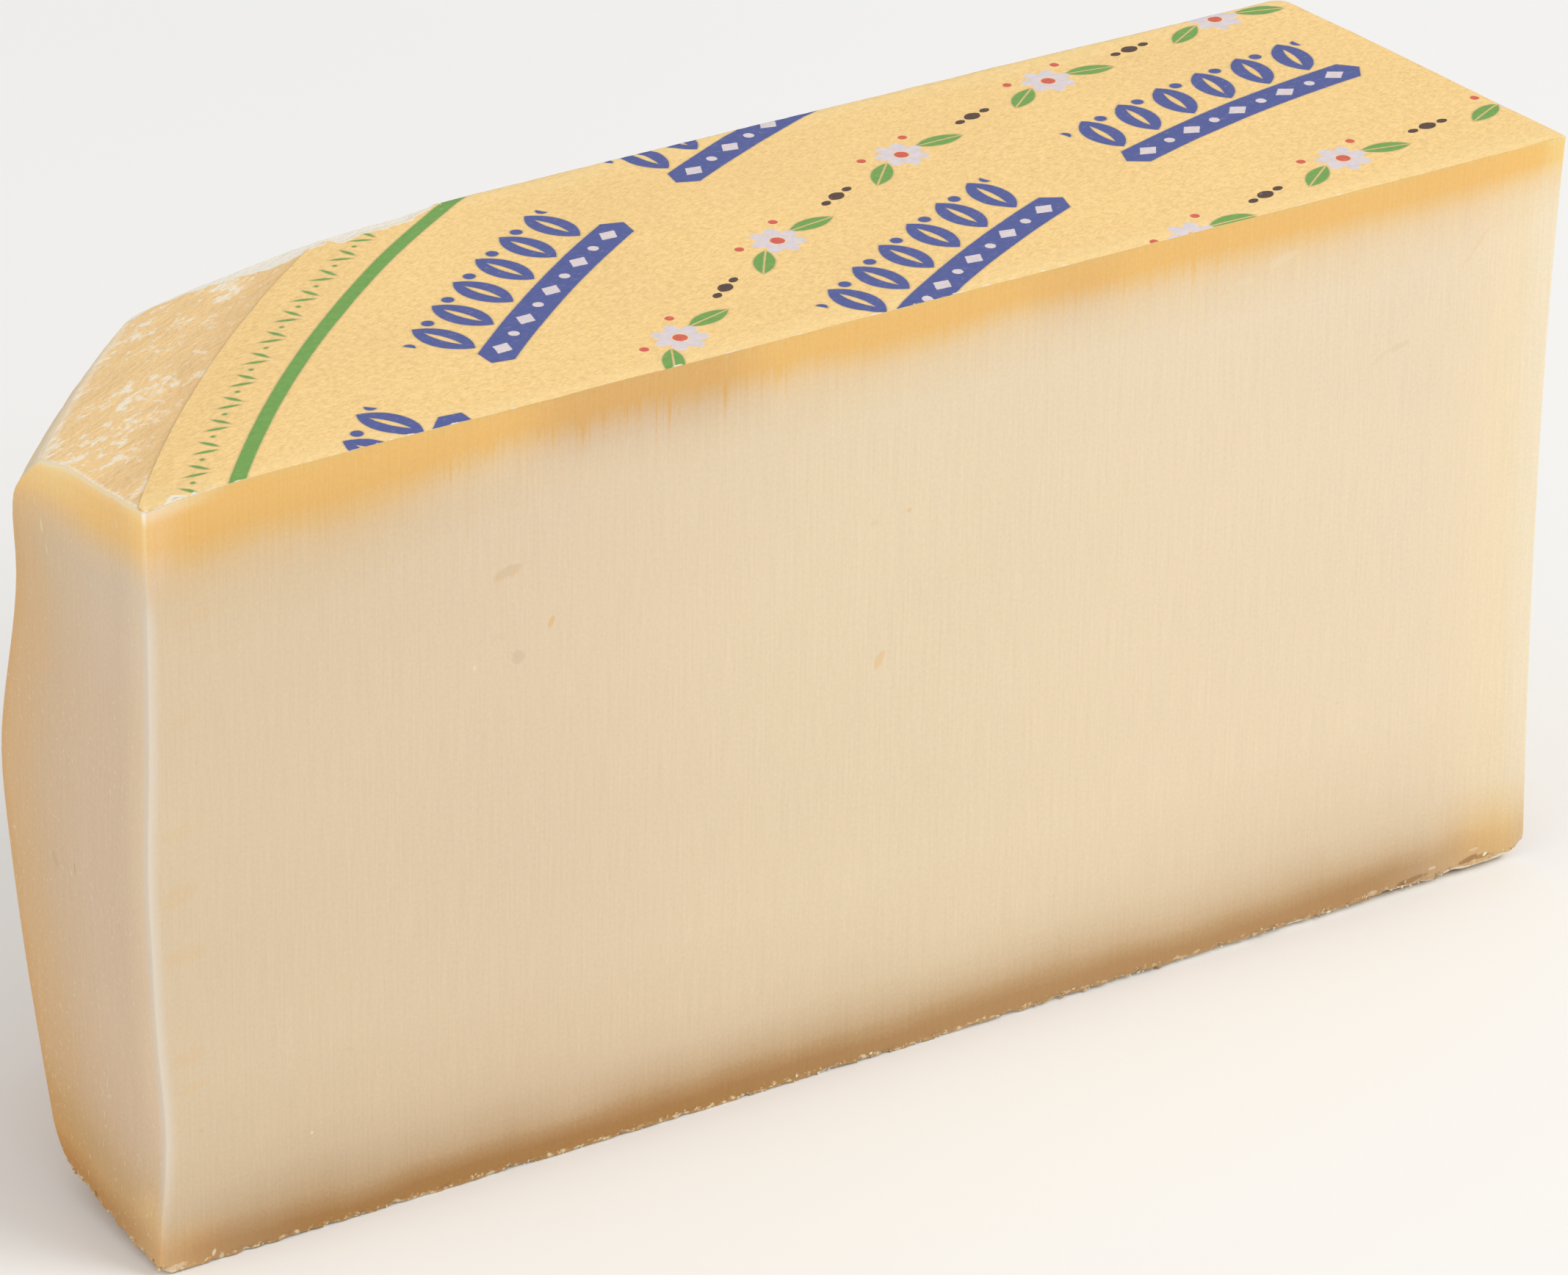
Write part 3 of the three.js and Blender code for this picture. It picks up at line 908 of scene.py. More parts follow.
def cheese_paste(marks=False):
    """Waxy paste with golden, brown and tan borders, painted light and shade, and pale edges that are painted
    highlights. Its marks are a finish of their own, laid only where they are, because they are slow to work
    out."""
    looks = bpy.context.scene.cheese_paste
    f = Finish("cheese_paste_marked" if marks else "cheese_paste")
    streaks = f.noise((1.0, 1.0, 9.0), 2, 0.6)
    ribs = f.noise((0.36, 0.36, 12.0))
    broad = f.noise((19.0, 19.0, 14.0))
    clouds = f.noise((44.0, 44.0, 30.0), 0)
    grain = f.noise((0.5, 0.5, 0.5))
    ragged = f.noise((0.9, 0.9, 2.6), 2, 0.6)
    under_top = f.attribute("under_top")
    above_base = f.attribute("above_base")
    in_from_rim = f.attribute("in_from_rim")
    off_left = f.attribute("off_left")
    off_right = f.attribute("off_right")
    at = {"x": f.x, "y": f.y, "z": f.z, "under_top": under_top, "above_base": above_base,
          "off_right": off_right, "foot": above_base + f.ease(f.y, 2.0, 9.0) * 4.0}

    colour = f.scaled(looks.paste, clouds * 0.05 + grain * 0.12 + ribs * 0.10 + 1)
    # Painted shade, darker towards the rim at the block's left end.
    rim_end_shade = f.ease(under_top, 0.0, 14.0) * f.ease(above_base, -5.0, 10.0)
    colour = f.tinted(colour, f.ramp(in_from_rim, RIM_END_SHADE_TINTS), rim_end_shade)

    # The golden border, with drips where the wire dragged it down, and the other borders.
    runs = f.noise((0.85, 0.85, 20.0), 2, 0.6)
    dragged = f.attribute("drips") * (f.ease(runs + ribs * 0.15, 0.0, 0.24) * 2.8 - 0.7)
    depth = under_top / f.attribute("gold_reach") + streaks * 1.2 + broad * 2.6 - dragged
    colour = tinted_parts(f, f.tinted(colour, f.ramp(depth, GOLD_TINTS)), at, 1, DULL_GOLD)
    # The brown border above the underside: partly brown paste and partly painted shade near the floor.
    height = above_base + broad * 3.0 + grain * 0.8
    colour = f.tinted(colour, f.ramp(height, BROWN_AND_SHADE_TINTS), f.attribute("brown_and_shade_strength"))
    low_enough = 1 - f.ease(under_top, 13.0, 4.5) * 0.8
    colour = f.tinted(colour, f.ramp(in_from_rim + broad * 3.0 + grain * 0.5, RIM_TINTS), low_enough)

    # The left cut: painted light, brighter at the top where light comes through and paler towards the front
    # edge.
    on_left = f.ease(off_left, 0.9, 0.3) * f.ease(f.y - off_left, -0.16, 0.0)
    colour = f.tinted(colour, f.scaled(f.ramp(under_top, LEFT_LIGHT_TINTS), LEFT_LIGHT_GAIN), on_left)
    colour = tinted_parts(f, colour, at, on_left, LEFT_LIGHT_PARTS)
    specks = f.ease(f.noise((0.5, 0.5, 0.7), 0), 0.2, 0.3)
    colour = f.mix(specks * on_left * 0.32, colour, (0.86, 0.76, 0.56))

    # The ends of the front cut: a painted glow along the right edge, with a warm lower corner.
    on_front = f.ease(f.y, 1.2, 0.4)
    colour = f.tinted(colour, f.scaled(f.ramp(off_right, RIGHT_GLOW_TINTS), RIGHT_GLOW_GAIN), on_front)
    corner = f.ease(off_right + broad * 7.0, 17.0, 5.0) * (1 - f.ease(off_right, 3.0, 0.3) * 0.5)
    corner = corner * f.ease(above_base + broad * 5.0, 14.0, 3.0) * on_front
    colour = f.tinted(colour, (1.03, 0.90, 0.63), corner)
    colour = tinted_parts(f, colour, at, on_front, FRONT_PARTS)

    # Broken paste along the lower edges.
    flaky = f.noise((1.1, 1.1, 0.7), 2, 0.6)
    fringe = f.ease(above_base - flaky * 3.0, 0.7, 0.25) * (f.ease(f.x, 185.0, 110.0) * 0.6 + 0.4)
    colour = f.mix(fringe * 0.35, colour, (0.58, 0.39, 0.18))
    colour = f.mix(fringe * f.ease(flaky + grain * 0.5, 0.02, 0.16) * 0.8, colour, (0.82, 0.67, 0.44))

    # The pale line down the front left edge is a painted highlight with a painted glow at its top, and the
    # pale ridge over the left cut is a painted highlight too.
    edge_highlight = f.ease(f.most(off_left, f.y) + ragged * 0.6, 2.0, 0.1)
    edge_highlight = edge_highlight * f.ease(f.z, 0.0, 20.0) * f.ease(f.z, 101.0, 93.0)
    colour = f.mix(edge_highlight * 0.66, colour, (0.75, 0.685, 0.60))
    corner_glow = f.ease(off_left, 7.0, 0.5) * f.ease(f.z, 97.0, 104.0) * on_front
    colour = f.tinted(colour, (1.04, 1.11, 1.45), corner_glow)
    ridge_highlight = f.ease(off_left, 1.5, 0.6) * f.ease(under_top + ragged * 0.6, 1.0, 0.2) * f.ease(f.y, 0.5, 3.0)
    colour = f.mix(ridge_highlight * 0.5, colour, PALE_RIDGE)
    if marks:
        colour = marked(f, colour, ragged, f.ease(f.y, 1.6, 0.8), f.x, FRONT_MARKS)
        colour = marked(f, colour, ragged, f.ease(f.x, 2.4, 1.6), f.y, LEFT_MARKS)

    f.surface(colour, 0.48, 0.38)
    f.bump(ribs + streaks * 0.15, looks.ribbing)
    f.translucent(0.18, 0.0026)
    return f.material


# Degrees by which the rind's grain is turned from the front cut.
RIND_GRAIN_TURN = 21.0


def cheese_rind():
    """Bare rind: tan with darker clouds by the label and pale flecks on the top, browner
    with a pressed-in grain round the rim and below, and whitish where it broke off."""
    looks = bpy.context.scene.cheese_paste
    f = Finish("cheese_rind")
    flecks = f.noise((2.3, 1.5, 2.0), 2, 0.68, RIND_GRAIN_TURN)
    scratches = f.noise((7.0, 0.6, 2.0), 1, 0.6, RIND_GRAIN_TURN)
    patches = f.noise((9.0, 6.0, 8.0))
    grain = f.noise((0.7, 0.7, 0.6), 2, 0.6)
    under_top = f.attribute("under_top")
    off_label = f.attribute("off_label")

    by_label = f.ease(off_label + patches * 9, 8.0, 1.0)
    top = f.scaled(looks.rind, patches * 0.2 + grain * 0.2 + scratches * 0.25 + 1)
    top = f.mix(by_label * 0.45, top, (0.76, 0.50, 0.235))
    fleck_share = f.ease(flecks + patches * 0.75 + grain * 0.15, 0.07, 0.23)
    top = f.mix(fleck_share * (0.9 - by_label * 0.4), top, looks.rind_flecks)

    rim = f.scaled(looks.rim_rind, patches * 0.5 + grain * 0.6 + 1)
    rim = f.mix(f.ease(grain + flecks * 0.5, 0.1, 0.3) * 0.4, rim, (0.76, 0.62, 0.43))
    rim = f.mix(f.ease(under_top + flecks * 5, 16.0, 5.0) * 0.8, rim, (0.85, 0.68, 0.44))
    colour = f.mix(f.ease(under_top, 1.6, 0.5), rim, top)

    near_rim = f.ease(f.attribute("in_from_rim") + flecks, 1.5, 0.3)
    pale = near_rim * f.ease(under_top, 4.0, 0.5) * 0.5
    # Painted highlight along the top edge of the left cut.
    ridge_highlight = f.ease(f.attribute("off_left") + flecks * 0.7, 0.8, 0.3) * f.ease(f.y, 0.5, 3.0)
    ridge_highlight = ridge_highlight * f.ease(under_top, 9.0, 2.0)
    colour = f.mix(f.most(pale, ridge_highlight * 0.6), colour, PALE_RIDGE)
    left_paper = f.ease(f.y, 1.9, 1.2) * f.ease(off_label, 0.4, -0.4)
    colour = f.mix(left_paper * 0.85, colour, (0.93, 0.86, 0.72))
    broken = f.ease(f.attribute("strip") + grain * 0.9, -0.1, 0.15) * f.ease(under_top, 2.0, 1.0)
    colour = f.mix(broken * 0.95, colour, (0.93, 0.88, 0.78))

    f.surface(colour, 0.68, 0.35)
    f.bump(f.noise((1.3, 0.7, 0.8), 2, 0.6, RIND_GRAIN_TURN), 0.0003)
    f.translucent(0.12, 0.0018)
    return f.material


class CHEESE_OT_block(bpy.types.Operator):
    """Builds the block of cheese over its CAD solid"""

    bl_idname = "cheese.block"
    bl_label = "Cheese Block"

    def execute(self, context):
        points, quads, attributes, finish_of_face = cheese_shape()
        finishes = (cheese_paste(), cheese_rind(), cheese_paste(marks=True))
        piece = new_piece("cheese_block", points, quads, attributes, finishes, finish_of_face)
        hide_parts("cheese")
        return {"FINISHED"}


# ---- The label ----

LABEL_ALONG = {0: 0.15, 1: 0.4, 48: 0.55, 78: 0.55, 90: 0.8, 214: 0.8, 218: 0.2}
LABEL_ACROSS = {0: 0.12, 0.6: 0.25, 2: 0.9, 54: 1.0, 57: 0.5, 59.3: 0.2}
LABEL_CURVE_SHARE = 0.21

# The print: rings of simple motifs about the label's centre, in millimetres from it and
# along them. Each tier of rings is TIER_STEP inside the last.
RING_RADIUS = 280.66
RING_HALF_WIDTH = 0.99
RING_CLEARANCE = 6.0
SPRIG_RADIUS = 286.1
SPRIG_PERIOD = 6.6
TIER_STEP = 45.5
BAND_RADIUS = 257.0
BAND_HALF_WIDTH = 2.5
BAND_HALF_LENGTH = 23.5
BAND_PERIOD = 62.0
BAND_START = 11.2
BAND_TIER_SHIFT = -12.0
PIP_PERIOD = 9.4
LEAF_PERIOD = 7.4
LEAF_OUT = 8.0
FLOWER_RADIUS = 236.5
FLOWER_PERIOD = 33.0
FLOWER_START = 20.5
FLOWER_TIER_SHIFT = 14.0


def disc(f, a, b, radius):
    """Distance inside a circle."""
    return radius - f.hypot(a, b)


def pointed_oval(f, a, b, half_length, half_width):
    """Two equal arcs that meet in points at plus and minus half_length along b."""
    arc = (half_length ** 2 + half_width ** 2) / (2 * half_width)
    return arc - f.hypot(abs(a) + (arc - half_width), b)


def diamond(a, b, half_length, half_width):
    """Distance inside the four straight sides of a diamond."""
    scale = half_length * half_width / math.hypot(half_length, half_width)
    return (1 - abs(a) / half_length - abs(b) / half_width) * scale


def tier_place(f, reach, turn, radius, start, tier_shift, period):
    """Place within the repeats of a tiered ring: along it from the middle of a repeat, and
    outwards from it."""
    tier = f.math("ROUND", (reach - radius) / TIER_STEP)
    run = turn * (tier * TIER_STEP + radius) + tier * tier_shift + start
    return f.wrap(run, period), reach - radius - tier * TIER_STEP


def printed_bands(f, a, out):
    """Bars with pips in them and a row of leaves above: the blue and white distances."""
    bar = f.least(BAND_HALF_WIDTH - abs(out), BAND_HALF_LENGTH - abs(a) - abs(out) * 0.8)
    diamonds = diamond(f.wrap(a, PIP_PERIOD), out, 1.75, 1.35)
    dots = disc(f, f.wrap(a + PIP_PERIOD / 2, PIP_PERIOD), out, 0.75)
    pips = f.least(f.most(diamonds, dots), BAND_HALF_LENGTH - 2.3 - abs(a))
    leaf_a, leaf_b = turned(f.wrap(a + LEAF_PERIOD / 2, LEAF_PERIOD), out - LEAF_OUT, -16)
    leaves = pointed_oval(f, leaf_a, leaf_b, 4.9, 2.5)
    slits = pointed_oval(f, leaf_a, leaf_b, 3.0, 0.5)
    berries = disc(f, f.wrap(a, LEAF_PERIOD), out - LEAF_OUT - 3.4, 0.85)
    crest = f.least(f.most(f.least(leaves, slits * -1), berries), 3 * LEAF_PERIOD - abs(a))
    return f.most(bar, crest), pips


def printed_flowers(f, a, out):
    """Flowers with a leaf and a berry each side and seeds between: distances by ink."""
    angle = f.math("ARCTAN2", out, a)
    petals = abs(f.math("COSINE", angle * 3.5 + 0.4)) * 1.35 + 2.5 - f.hypot(a, out)
    middle = disc(f, a, out, 1.15)
    leaf_a, leaf_b = turned(abs(a) - 7.0, out + 1.4, 68)
    leaves = f.least(pointed_oval(f, leaf_a, leaf_b, 3.7, 1.45), abs(leaf_a) - 0.14)
    berries = disc(f, abs(a) - 4.9, out - 3.2, 0.65)
    between = f.wrap(a + FLOWER_PERIOD / 2, FLOWER_PERIOD)
    side_seeds = pointed_oval(f, out, abs(between) - 2.7, 0.9, 0.6)
    seeds = f.most(pointed_oval(f, out, between, 1.45, 1.0), side_seeds)
    return {"white": f.least(petals, middle * -1), "red": f.most(middle - 0.15, berries),
            "green": leaves, "brown": seeds}


def printed_shapes(f):
    """Distance inside each ink's shapes, in millimetres, positive inside."""
    from_x = f.x - LABEL_CENTRE[0]
    from_y = f.y - LABEL_CENTRE[1]
    reach = f.hypot(from_x, from_y)
    turn = f.math("ARCTAN2", from_y, from_x * -1)
    band_place = tier_place(f, reach, turn, BAND_RADIUS, BAND_START, BAND_TIER_SHIFT, BAND_PERIOD)
    flower_place = tier_place(f, reach, turn, FLOWER_RADIUS, FLOWER_START, FLOWER_TIER_SHIFT, FLOWER_PERIOD)
    shapes = printed_flowers(f, *flower_place)
    shapes["blue"], pips = printed_bands(f, *band_place)
    shapes["white"] = f.most(shapes["white"], pips)
    inside_ring = RING_RADIUS - RING_CLEARANCE - reach
    shapes = {ink: f.least(shape, inside_ring) for ink, shape in shapes.items()}

    ring = RING_HALF_WIDTH - abs(reach - RING_RADIUS)
    sprig = f.wrap(turn * SPRIG_RADIUS, SPRIG_PERIOD)
    sprig_a, sprig_b = turned(abs(sprig) - SPRIG_PERIOD / 6, reach - SPRIG_RADIUS, -24)
    sprigs = f.most(pointed_oval(f, sprig_a, sprig_b, 1.5, 0.3),
                    disc(f, abs(sprig) - SPRIG_PERIOD / 2, reach - SPRIG_RADIUS, 0.3))
    shapes["green"] = f.most(shapes["green"], f.most(ring, sprigs))
    return shapes


# Fine creases in the paper: a point on each, its direction in degrees, length and height.
CREASES = ((9.0, 9.0, 63, 9.0, 0.07), (14.0, 22.0, 71, 14.0, 0.05), (61.0, 16.0, 20, 17.0, 0.05),
           (98.0, 34.0, -28, 20.0, 0.05), (143.0, 20.0, 14, 22.0, 0.05), (176.0, 41.0, 66, 12.0, 0.05),
           (33.0, 30.0, 38, 12.0, 0.05), (199.0, 17.0, -12, 14.0, 0.05), (121.0, 47.0, 24, 16.0, 0.05))
CREASE_WIDTH = 0.55


def paper_relief(x, y):
    """The paper's own relief: low puckers, and creases that are bells across and along."""
    height = layered(np.stack([x, y], 1), PUCKERS)
    for at_x, at_y, degrees, extent, rise in CREASES:
        a, b = turned(x - at_x, y - at_y, degrees)
        b = b + 0.5 * np.sin(a * 0.35)
        height = height + rise * bell(b, CREASE_WIDTH) * bell(a, extent / 2)
    return np.maximum(height, -0.02)


def label_shape():
    """Points, quads and attributes of the paper sheet, which follows the rind."""
    spacings = (LABEL_ALONG, LABEL_ACROSS)
    places, quads, spots, sizes, curve_share = graded_body(spacings, [1], LABEL_CURVE_SHARE)
    along, across = (back_corner_rounded(spots, sizes) / sizes).T
    plan = (curve_share, LABEL_CENTRE, LABEL_RADIUS, WHEEL_HEIGHT)
    x, y = plan_point(along, across, *plan)
    back_x, back_y = plan_point(along, along * 0 + 1, *plan)

    # The cut edges are ragged, and the back one is torn in along the broken strip.
    edge_places = along_line(x)
    front_tear = 0.75 * bell(x - 4.6, 4.3) * (0.6 + 0.6 * lattice_noise(edge_places, 0.9, 75))
    front_tear = np.maximum(0, front_tear)
    front_in = 0.1 + 0.04 * lattice_noise(edge_places, 0.8, 71) + front_tear
    back_ragged = 0.12 + 0.06 * lattice_noise(edge_places, 1.1, 72)
    torn_back = back_y - (back_cut(back_x) - strip_width(back_x))
    back_in = np.maximum(back_ragged, torn_back + back_ragged - 0.3)
    y = y + front_in * (1 - across) - back_in * across
    x = x + LABEL_SIDES_IN * (1 - 2 * along)

    z = wheel_top(radius_at(x, y)) - top_sag(x, y) + top_swells(x, y) + LABEL_LIFT + paper_relief(x, y)
    to_edge = np.minimum(np.minimum(y, back_cut(x) - y), right_cut(y, WHEEL_HEIGHT) - x)
    z = z + LABEL_THICKNESS * places[:, 2] - LABEL_EDGE_SINK * smoothstep(to_edge, 1.4, 0.3)
    fleck = np.maximum(0, lattice_noise(edge_places, 1.0, 77) - 0.58) * 1.1
    at_front = 2.2 * front_tear + fleck - y
    at_back = np.where(torn_back > 0.1, 0.7, -9.0) - (back_y - back_in - y)
    attributes = {
        "in_from_cut": np.minimum(y, back_cut(x) - y),
        "torn": np.clip(np.maximum(at_front, at_back), -3, 3),
    }
    return np.stack([x, y, z], 1), quads, attributes


def label_finish():
    """Mottled fibrous yellow paper with matt inks that let some fibres through."""
    looks = bpy.context.scene.cheese_label
    f = Finish("label_printed_paper")
    fibres = f.noise((0.8, 0.3, 1.0), 2, 0.7, 14.0)
    hairs = f.noise((0.3, 1.1, 1.0), 1, 0.6, 40.0)
    mottle = f.noise((1.2, 1.0, 1.0), 2, 0.65)
    clouds = f.noise((26.0, 20.0, 1.0))

    paper = f.scaled(looks.paper, fibres * 0.55 + mottle * 0.36 + clouds * 0.08 + 1)
    paper = f.mix(f.ease(mottle, 0.07, 0.3), paper, (0.90, 0.70, 0.37))
    dark_fibres = f.most(f.ease(fibres, -0.12, -0.3), f.ease(hairs, 0.17, 0.3))
    paper = f.mix(dark_fibres * 0.45, paper, (0.70, 0.44, 0.16))
    by_cut = f.ease(f.attribute("in_from_cut") + clouds * 8, 6.0, 0.5)
    paper = f.mix(by_cut * 0.3, paper, (0.95, 0.74, 0.38))

    # The inks' edges are a little out of register, with a brown line round them.
    shapes = printed_shapes(f)
    wander = fibres * 0.16 + hairs * 0.1
    halo = f.ease(f.most(shapes["green"], shapes["blue"]) + wander, -0.34, -0.02) * 0.45
    colour = f.mix(halo, paper, (0.40, 0.31, 0.17))
    opacity = f.ease(fibres + mottle * 0.4, 0.3, 0.1) * 0.26 + 0.74
    not_white = f.ease(shapes["white"] + wander, 0.06, -0.06)
    for ink in ("white", "green", "red", "brown", "blue"):
        inside = f.ease(shapes[ink] + wander, -0.06, 0.06)
        if ink == "blue":
            inside = inside * not_white
        colour = f.mix(inside * opacity, colour, f.scaled(getattr(looks, ink), mottle * 0.3 + 1))
    torn = f.ease(f.attribute("torn") + mottle * 0.9, -0.05, 0.2)
    colour = f.mix(torn * 0.9, colour, looks.torn)

    f.surface(colour, 0.72, 0.25)
    f.bump(fibres + hairs * 0.5, 0.00007)
    return f.material


class CHEESE_OT_label(bpy.types.Operator):
    """Lays the printed paper label on the block"""

    bl_idname = "cheese.label"
    bl_label = "Paper Label"

    def execute(self, context):
        points, quads, attributes = label_shape()
        piece = new_piece("paper_label", points, quads, attributes, (label_finish(),))
        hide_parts("label")
        return {"FINISHED"}


# ---- Crumbs ----

CRUMB_RINGS = 3
CRUMB_SEGMENTS = 6
# Directions into the block from the front, left, back and right cuts, and the share of the
# crumbs on each.
INWARD = ((0, 1, 0), (1, 0, 0), (0, -1, 0), (-1, 0, 0))
SIDE_SHARES = (0.6, 0.06, 0.24, 0.1)
CRUMB_STRETCH = (1.5, 1.0, 0.8)
CRUMB_SUNK = 0.12
CRUMB_CLEAR_OF_FLOOR = 0.02
CRUMB_SHADES = ((0.0, (0.45, 0.27, 0.12)), (0.3, (0.58, 0.38, 0.18)), (0.65, (0.72, 0.53, 0.30)),
                (1.0, (0.92, 0.81, 0.62)))


def crumb_form():
    """Unit ball of few faces: rings of points between two poles. Gives points and triangles."""
    polar = np.pi * np.arange(1, CRUMB_RINGS + 1) / (CRUMB_RINGS + 1)
    around = 2 * np.pi * np.arange(CRUMB_SEGMENTS) / CRUMB_SEGMENTS
    polar, around = np.meshgrid(polar, around, indexing="ij")
    rings = np.stack([np.sin(polar) * np.cos(around), np.sin(polar) * np.sin(around), np.cos(polar)], -1)
    points = np.concatenate([rings.reshape(-1, 3), [[0, 0, 1], [0, 0, -1]]])
    index = np.arange(CRUMB_RINGS * CRUMB_SEGMENTS).reshape(CRUMB_RINGS, CRUMB_SEGMENTS)
    after = np.roll(index, -1, axis=1)
    north = CRUMB_RINGS * CRUMB_SEGMENTS
    caps = [np.stack([np.full(CRUMB_SEGMENTS, north), index[0], after[0]], 1),
            np.stack([np.full(CRUMB_SEGMENTS, north + 1), after[-1], index[-1]], 1)]
    walls = [np.stack([index[:-1], index[1:], after[1:]], -1).reshape(-1, 3),
             np.stack([index[:-1], after[1:], after[:-1]], -1).reshape(-1, 3)]
    return points, np.concatenate(caps + walls)


def crumb_places(draw, count):
    """Places on the lower edges, most on the front and thicker towards the right-hand end,
    with the direction into the block at each."""
    along = draw.uniform(0, 1, count) ** 0.8
    across = draw.uniform(0, 1, count)
    up = draw.uniform(0.0, 1.0, count) ** 1.5 * 1.1 / WHEEL_HEIGHT
    side = draw.choice(4, count, p=SIDE_SHARES)
    along = np.where(side == 1, 0.0, np.where(side == 3, 1.0, along))
    across = np.where(side == 0, 0.0, np.where(side == 2, 1.0, across))
    return np.stack([along, across, up], 1), np.array(INWARD)[side]


def kept_inside(points):
    """Moves each crumb whole so that none passes the floor or the block's front, back and
    right reach."""
    points[..., 2] += np.maximum(0, CRUMB_CLEAR_OF_FLOOR - points[..., 2].min(axis=1))[:, None]
    points[..., 1] += np.maximum(0, -points[..., 1].min(axis=1))[:, None]
    for axis, reach in ((1, BLOCK_WIDTH), (0, BLOCK_LENGTH)):
        points[..., axis] -= np.maximum(0, points[..., axis].max(axis=1) - reach)[:, None]
    return points


class CHEESE_OT_crumbs(bpy.types.Operator):
    """Sticks crumbs to the crumbled lower edges"""

    bl_idname = "cheese.crumbs"
    bl_label = "Crumbs"

    def execute(self, context):
        settings = context.scene.cheese_crumbs
        draw = np.random.default_rng(settings.seed)
        form, triangles = crumb_form()
        count = settings.count
        shares, inward = crumb_places(draw, count)
        centres, _, _ = cheese_surface(shares, CHEESE_CURVE_SHARE)
        size = settings.size / MM * draw.lognormal(-0.1, 0.45, count)
        centres = centres + inward * (CRUMB_SUNK * size)[:, None]
        stretch = draw.uniform(0.55, 1.0, (count, 3)) * CRUMB_STRETCH
        rough = draw.uniform(0.7, 1.15, (count, len(form), 1))
        turn, _ = np.linalg.qr(draw.normal(size=(count, 3, 3)))
        turn[np.linalg.det(turn) < 0] *= -1
        shapes = np.einsum("nij,nkj->nki", turn, form * rough * stretch[:, None])
        points = kept_inside(centres[:, None] + shapes * (size / 2)[:, None, None])
        faces = (triangles[None] + len(form) * np.arange(count)[:, None, None]).reshape(-1, 3)
        shade = np.repeat(draw.uniform(0, 1, count), len(form))
        new_piece("edge_crumbs", points.reshape(-1, 3), faces, {"shade": shade}, (crumb_finish(),))
        return {"FINISHED"}


def crumb_finish():
    """Crumbs from pale paste to brown rind, by each crumb's own shade."""
    f = Finish("crumb_paste")
    colour = f.ramp(f.attribute("shade"), CRUMB_SHADES)
    f.surface(f.scaled(colour, f.noise((0.3, 0.3, 0.3)) * 0.3 + 1), 0.62)
    f.translucent(0.1, 0.001)
    return f.material


# ---- Stage ----

# Each light's place, width and colour, in metres. They aim at AIM_HEIGHT above the origin.
KEY_LIGHT = ((0.9, -1.1, 1.3), 1.1, (1.0, 0.985, 0.95))
FILL_LIGHT = ((-1.5, -0.2, 1.2), 1.6, (1.0, 0.97, 0.94))
AIM_HEIGHT = 0.05
SKY_COLOUR = (1.0, 0.995, 0.985, 1)
FLOOR_RADIUS = 12
FLOOR_SIDES = 96


def add_camera():
    """Camera of the given focal length, turned by its azimuth, elevation and roll."""
    az = CAMERA_AZIMUTH
    el = CAMERA_ELEVATION
    back = Vector((math.sin(az) * math.cos(el), -math.cos(az) * math.cos(el), math.sin(el)))
    level = Vector((math.cos(az), math.sin(az), 0))
    upright = back.cross(level)
    right = math.cos(CAMERA_ROLL) * level + math.sin(CAMERA_ROLL) * upright
    up = math.cos(CAMERA_ROLL) * upright - math.sin(CAMERA_ROLL) * level
    place = back * CAMERA_DISTANCE - right * CAMERA_AIM[0] - up * CAMERA_AIM[1]
    place = (place + Vector((0, 0, CAMERA_LEVEL)) + Vector(FRAME_SHIFT)) * MM
    data = bpy.data.cameras.new("camera")
    data.sensor_fit = "HORIZONTAL"
    data.sensor_width = CAMERA_SENSOR
    data.lens = CAMERA_FOCAL_PIXELS * CAMERA_SENSOR / IMAGE_WIDTH
    data.clip_start = 0.05
    data.clip_end = 60
    camera = in_scene("camera", data)
    camera.matrix_world = Matrix.Translation(place) @ Matrix((right, up, back)).transposed().to_4x4()
    bpy.context.scene.camera = camera


def add_area_light(name, strength, place, size, colour):
    """A round lamp at a place in metres, turned towards the block."""
    data = bpy.data.lights.new(name, "AREA")
    data.shape = "DISK"
    data.size = size
    data.energy = strength
    data.color = colour
    aim = Vector(place) - Vector((0, 0, AIM_HEIGHT))
    turn = aim.to_track_quat("Z", "Y").to_matrix().to_4x4()
    in_scene(name, data).matrix_world = Matrix.Translation(place) @ turn


def add_floor(colour):
    """A wide round floor, with a soft procedural grain."""
    around = 2 * np.pi * np.arange(FLOOR_SIDES) / FLOOR_SIDES
    ring = np.stack([np.cos(around), np.sin(around), 0 * around], 1) * FLOOR_RADIUS
    mesh = bpy.data.meshes.new("floor")
    mesh.from_pydata(ring.tolist(), [], [list(range(FLOOR_SIDES))])
    f = Finish("floor_matt")
    f.surface(f.scaled(colour, f.noise((90.0, 90.0, 90.0), 0) * 0.01 + 1), 0.9, 0.1)
    mesh.materials.append(f.material)
    floor = in_scene("floor", mesh)


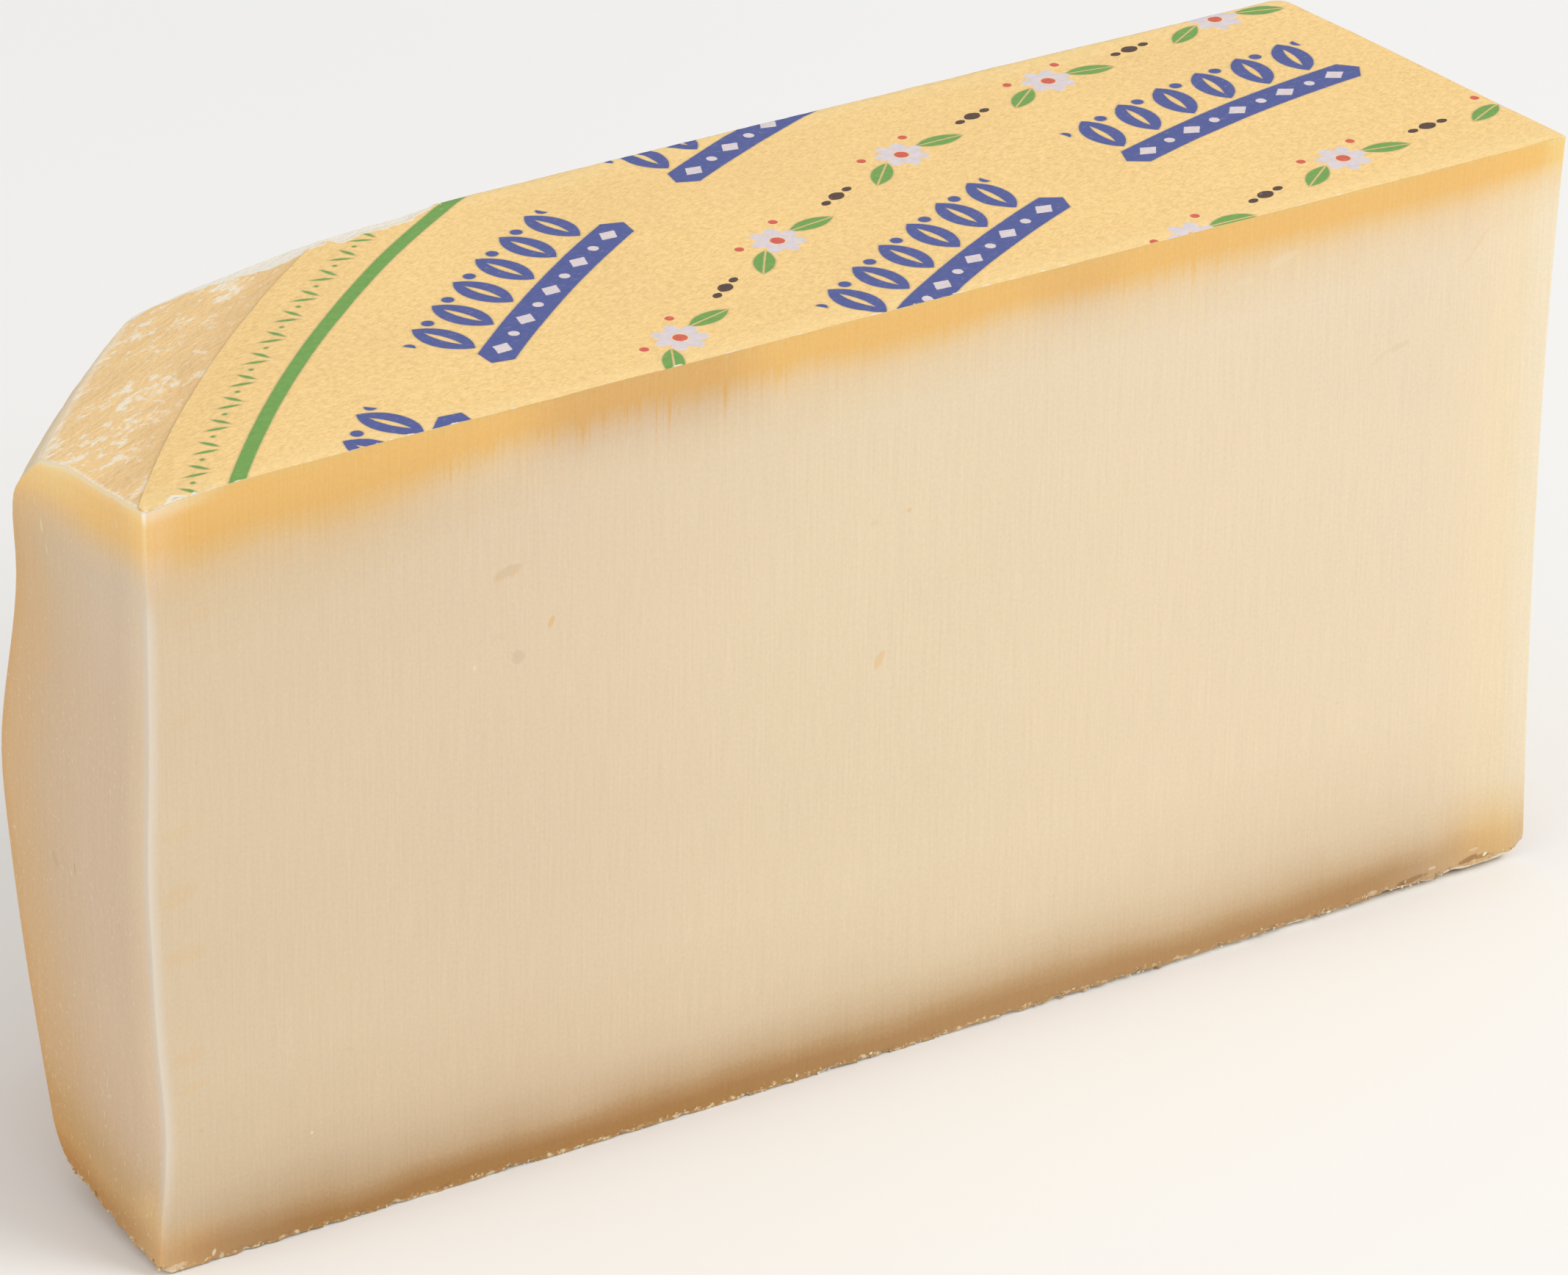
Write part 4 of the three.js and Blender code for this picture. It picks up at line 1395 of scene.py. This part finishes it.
class CHEESE_OT_stage(bpy.types.Operator):
    """Adds the camera, the pale floor and soft light"""

    bl_idname = "cheese.stage"
    bl_label = "Stage"

    def execute(self, context):
        settings = context.scene.cheese_stage
        add_camera()
        add_floor(settings.floor)
        add_area_light("key_light", settings.key_power, *KEY_LIGHT)
        add_area_light("fill_light", settings.fill_power, *FILL_LIGHT)
        world = bpy.data.worlds.new("surround")
        world.use_nodes = True
        backdrop = world.node_tree.nodes["Background"]
        backdrop.inputs["Color"].default_value = SKY_COLOUR
        backdrop.inputs["Strength"].default_value = settings.sky
        context.scene.world = world
        context.scene.view_settings.view_transform = "Standard"
        return {"FINISHED"}


class CHEESE_PT_panel(bpy.types.Panel):
    """Lists the block's parts with their settings"""

    bl_label = "Cheese Block"
    bl_idname = "CHEESE_PT_panel"
    bl_space_type = "VIEW_3D"
    bl_region_type = "UI"
    bl_category = "Cheese"

    def draw(self, context):
        for operator, key, _ in PARTS:
            box = self.layout.box()
            box.operator(operator.bl_idname)
            settings = getattr(context.scene, key)
            for name in settings.__annotations__:
                box.prop(settings, name)


PARTS = (
    (CHEESE_OT_block, "cheese_paste", PasteSettings),
    (CHEESE_OT_label, "cheese_label", LabelSettings),
    (CHEESE_OT_crumbs, "cheese_crumbs", CrumbSettings),
    (CHEESE_OT_stage, "cheese_stage", StageSettings),
)


def plain_low_corner():
    """Lowest x, y and z of the block without relief, which is the CAD solid's low corner."""
    up = np.linspace(0, 1, 801)
    edge, _, _ = cheese_surface(np.stack([0 * up, 0 * up, up], 1), CHEESE_CURVE_SHARE)
    return np.array([edge[:, 0].min(), 0, 0])


FRAME_SHIFT = np.array(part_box("cheese")[0]) / MM - plain_low_corner()
CAD_CORNERS = np.array(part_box("cheese")) / MM - FRAME_SHIFT


def register():
    for operator, key, settings in PARTS:
        bpy.utils.register_class(settings)
        setattr(bpy.types.Scene, key, PointerProperty(type=settings))
        bpy.utils.register_class(operator)
    bpy.utils.register_class(CHEESE_PT_panel)


def unregister():
    bpy.utils.unregister_class(CHEESE_PT_panel)
    for operator, key, settings in reversed(PARTS):
        bpy.utils.unregister_class(operator)
        delattr(bpy.types.Scene, key)
        bpy.utils.unregister_class(settings)


def main():
    register()
    bpy.ops.cheese.stage()
    bpy.ops.cheese.block()
    bpy.ops.cheese.label()
    bpy.ops.cheese.crumbs()


if __name__ == "__main__":
    main()
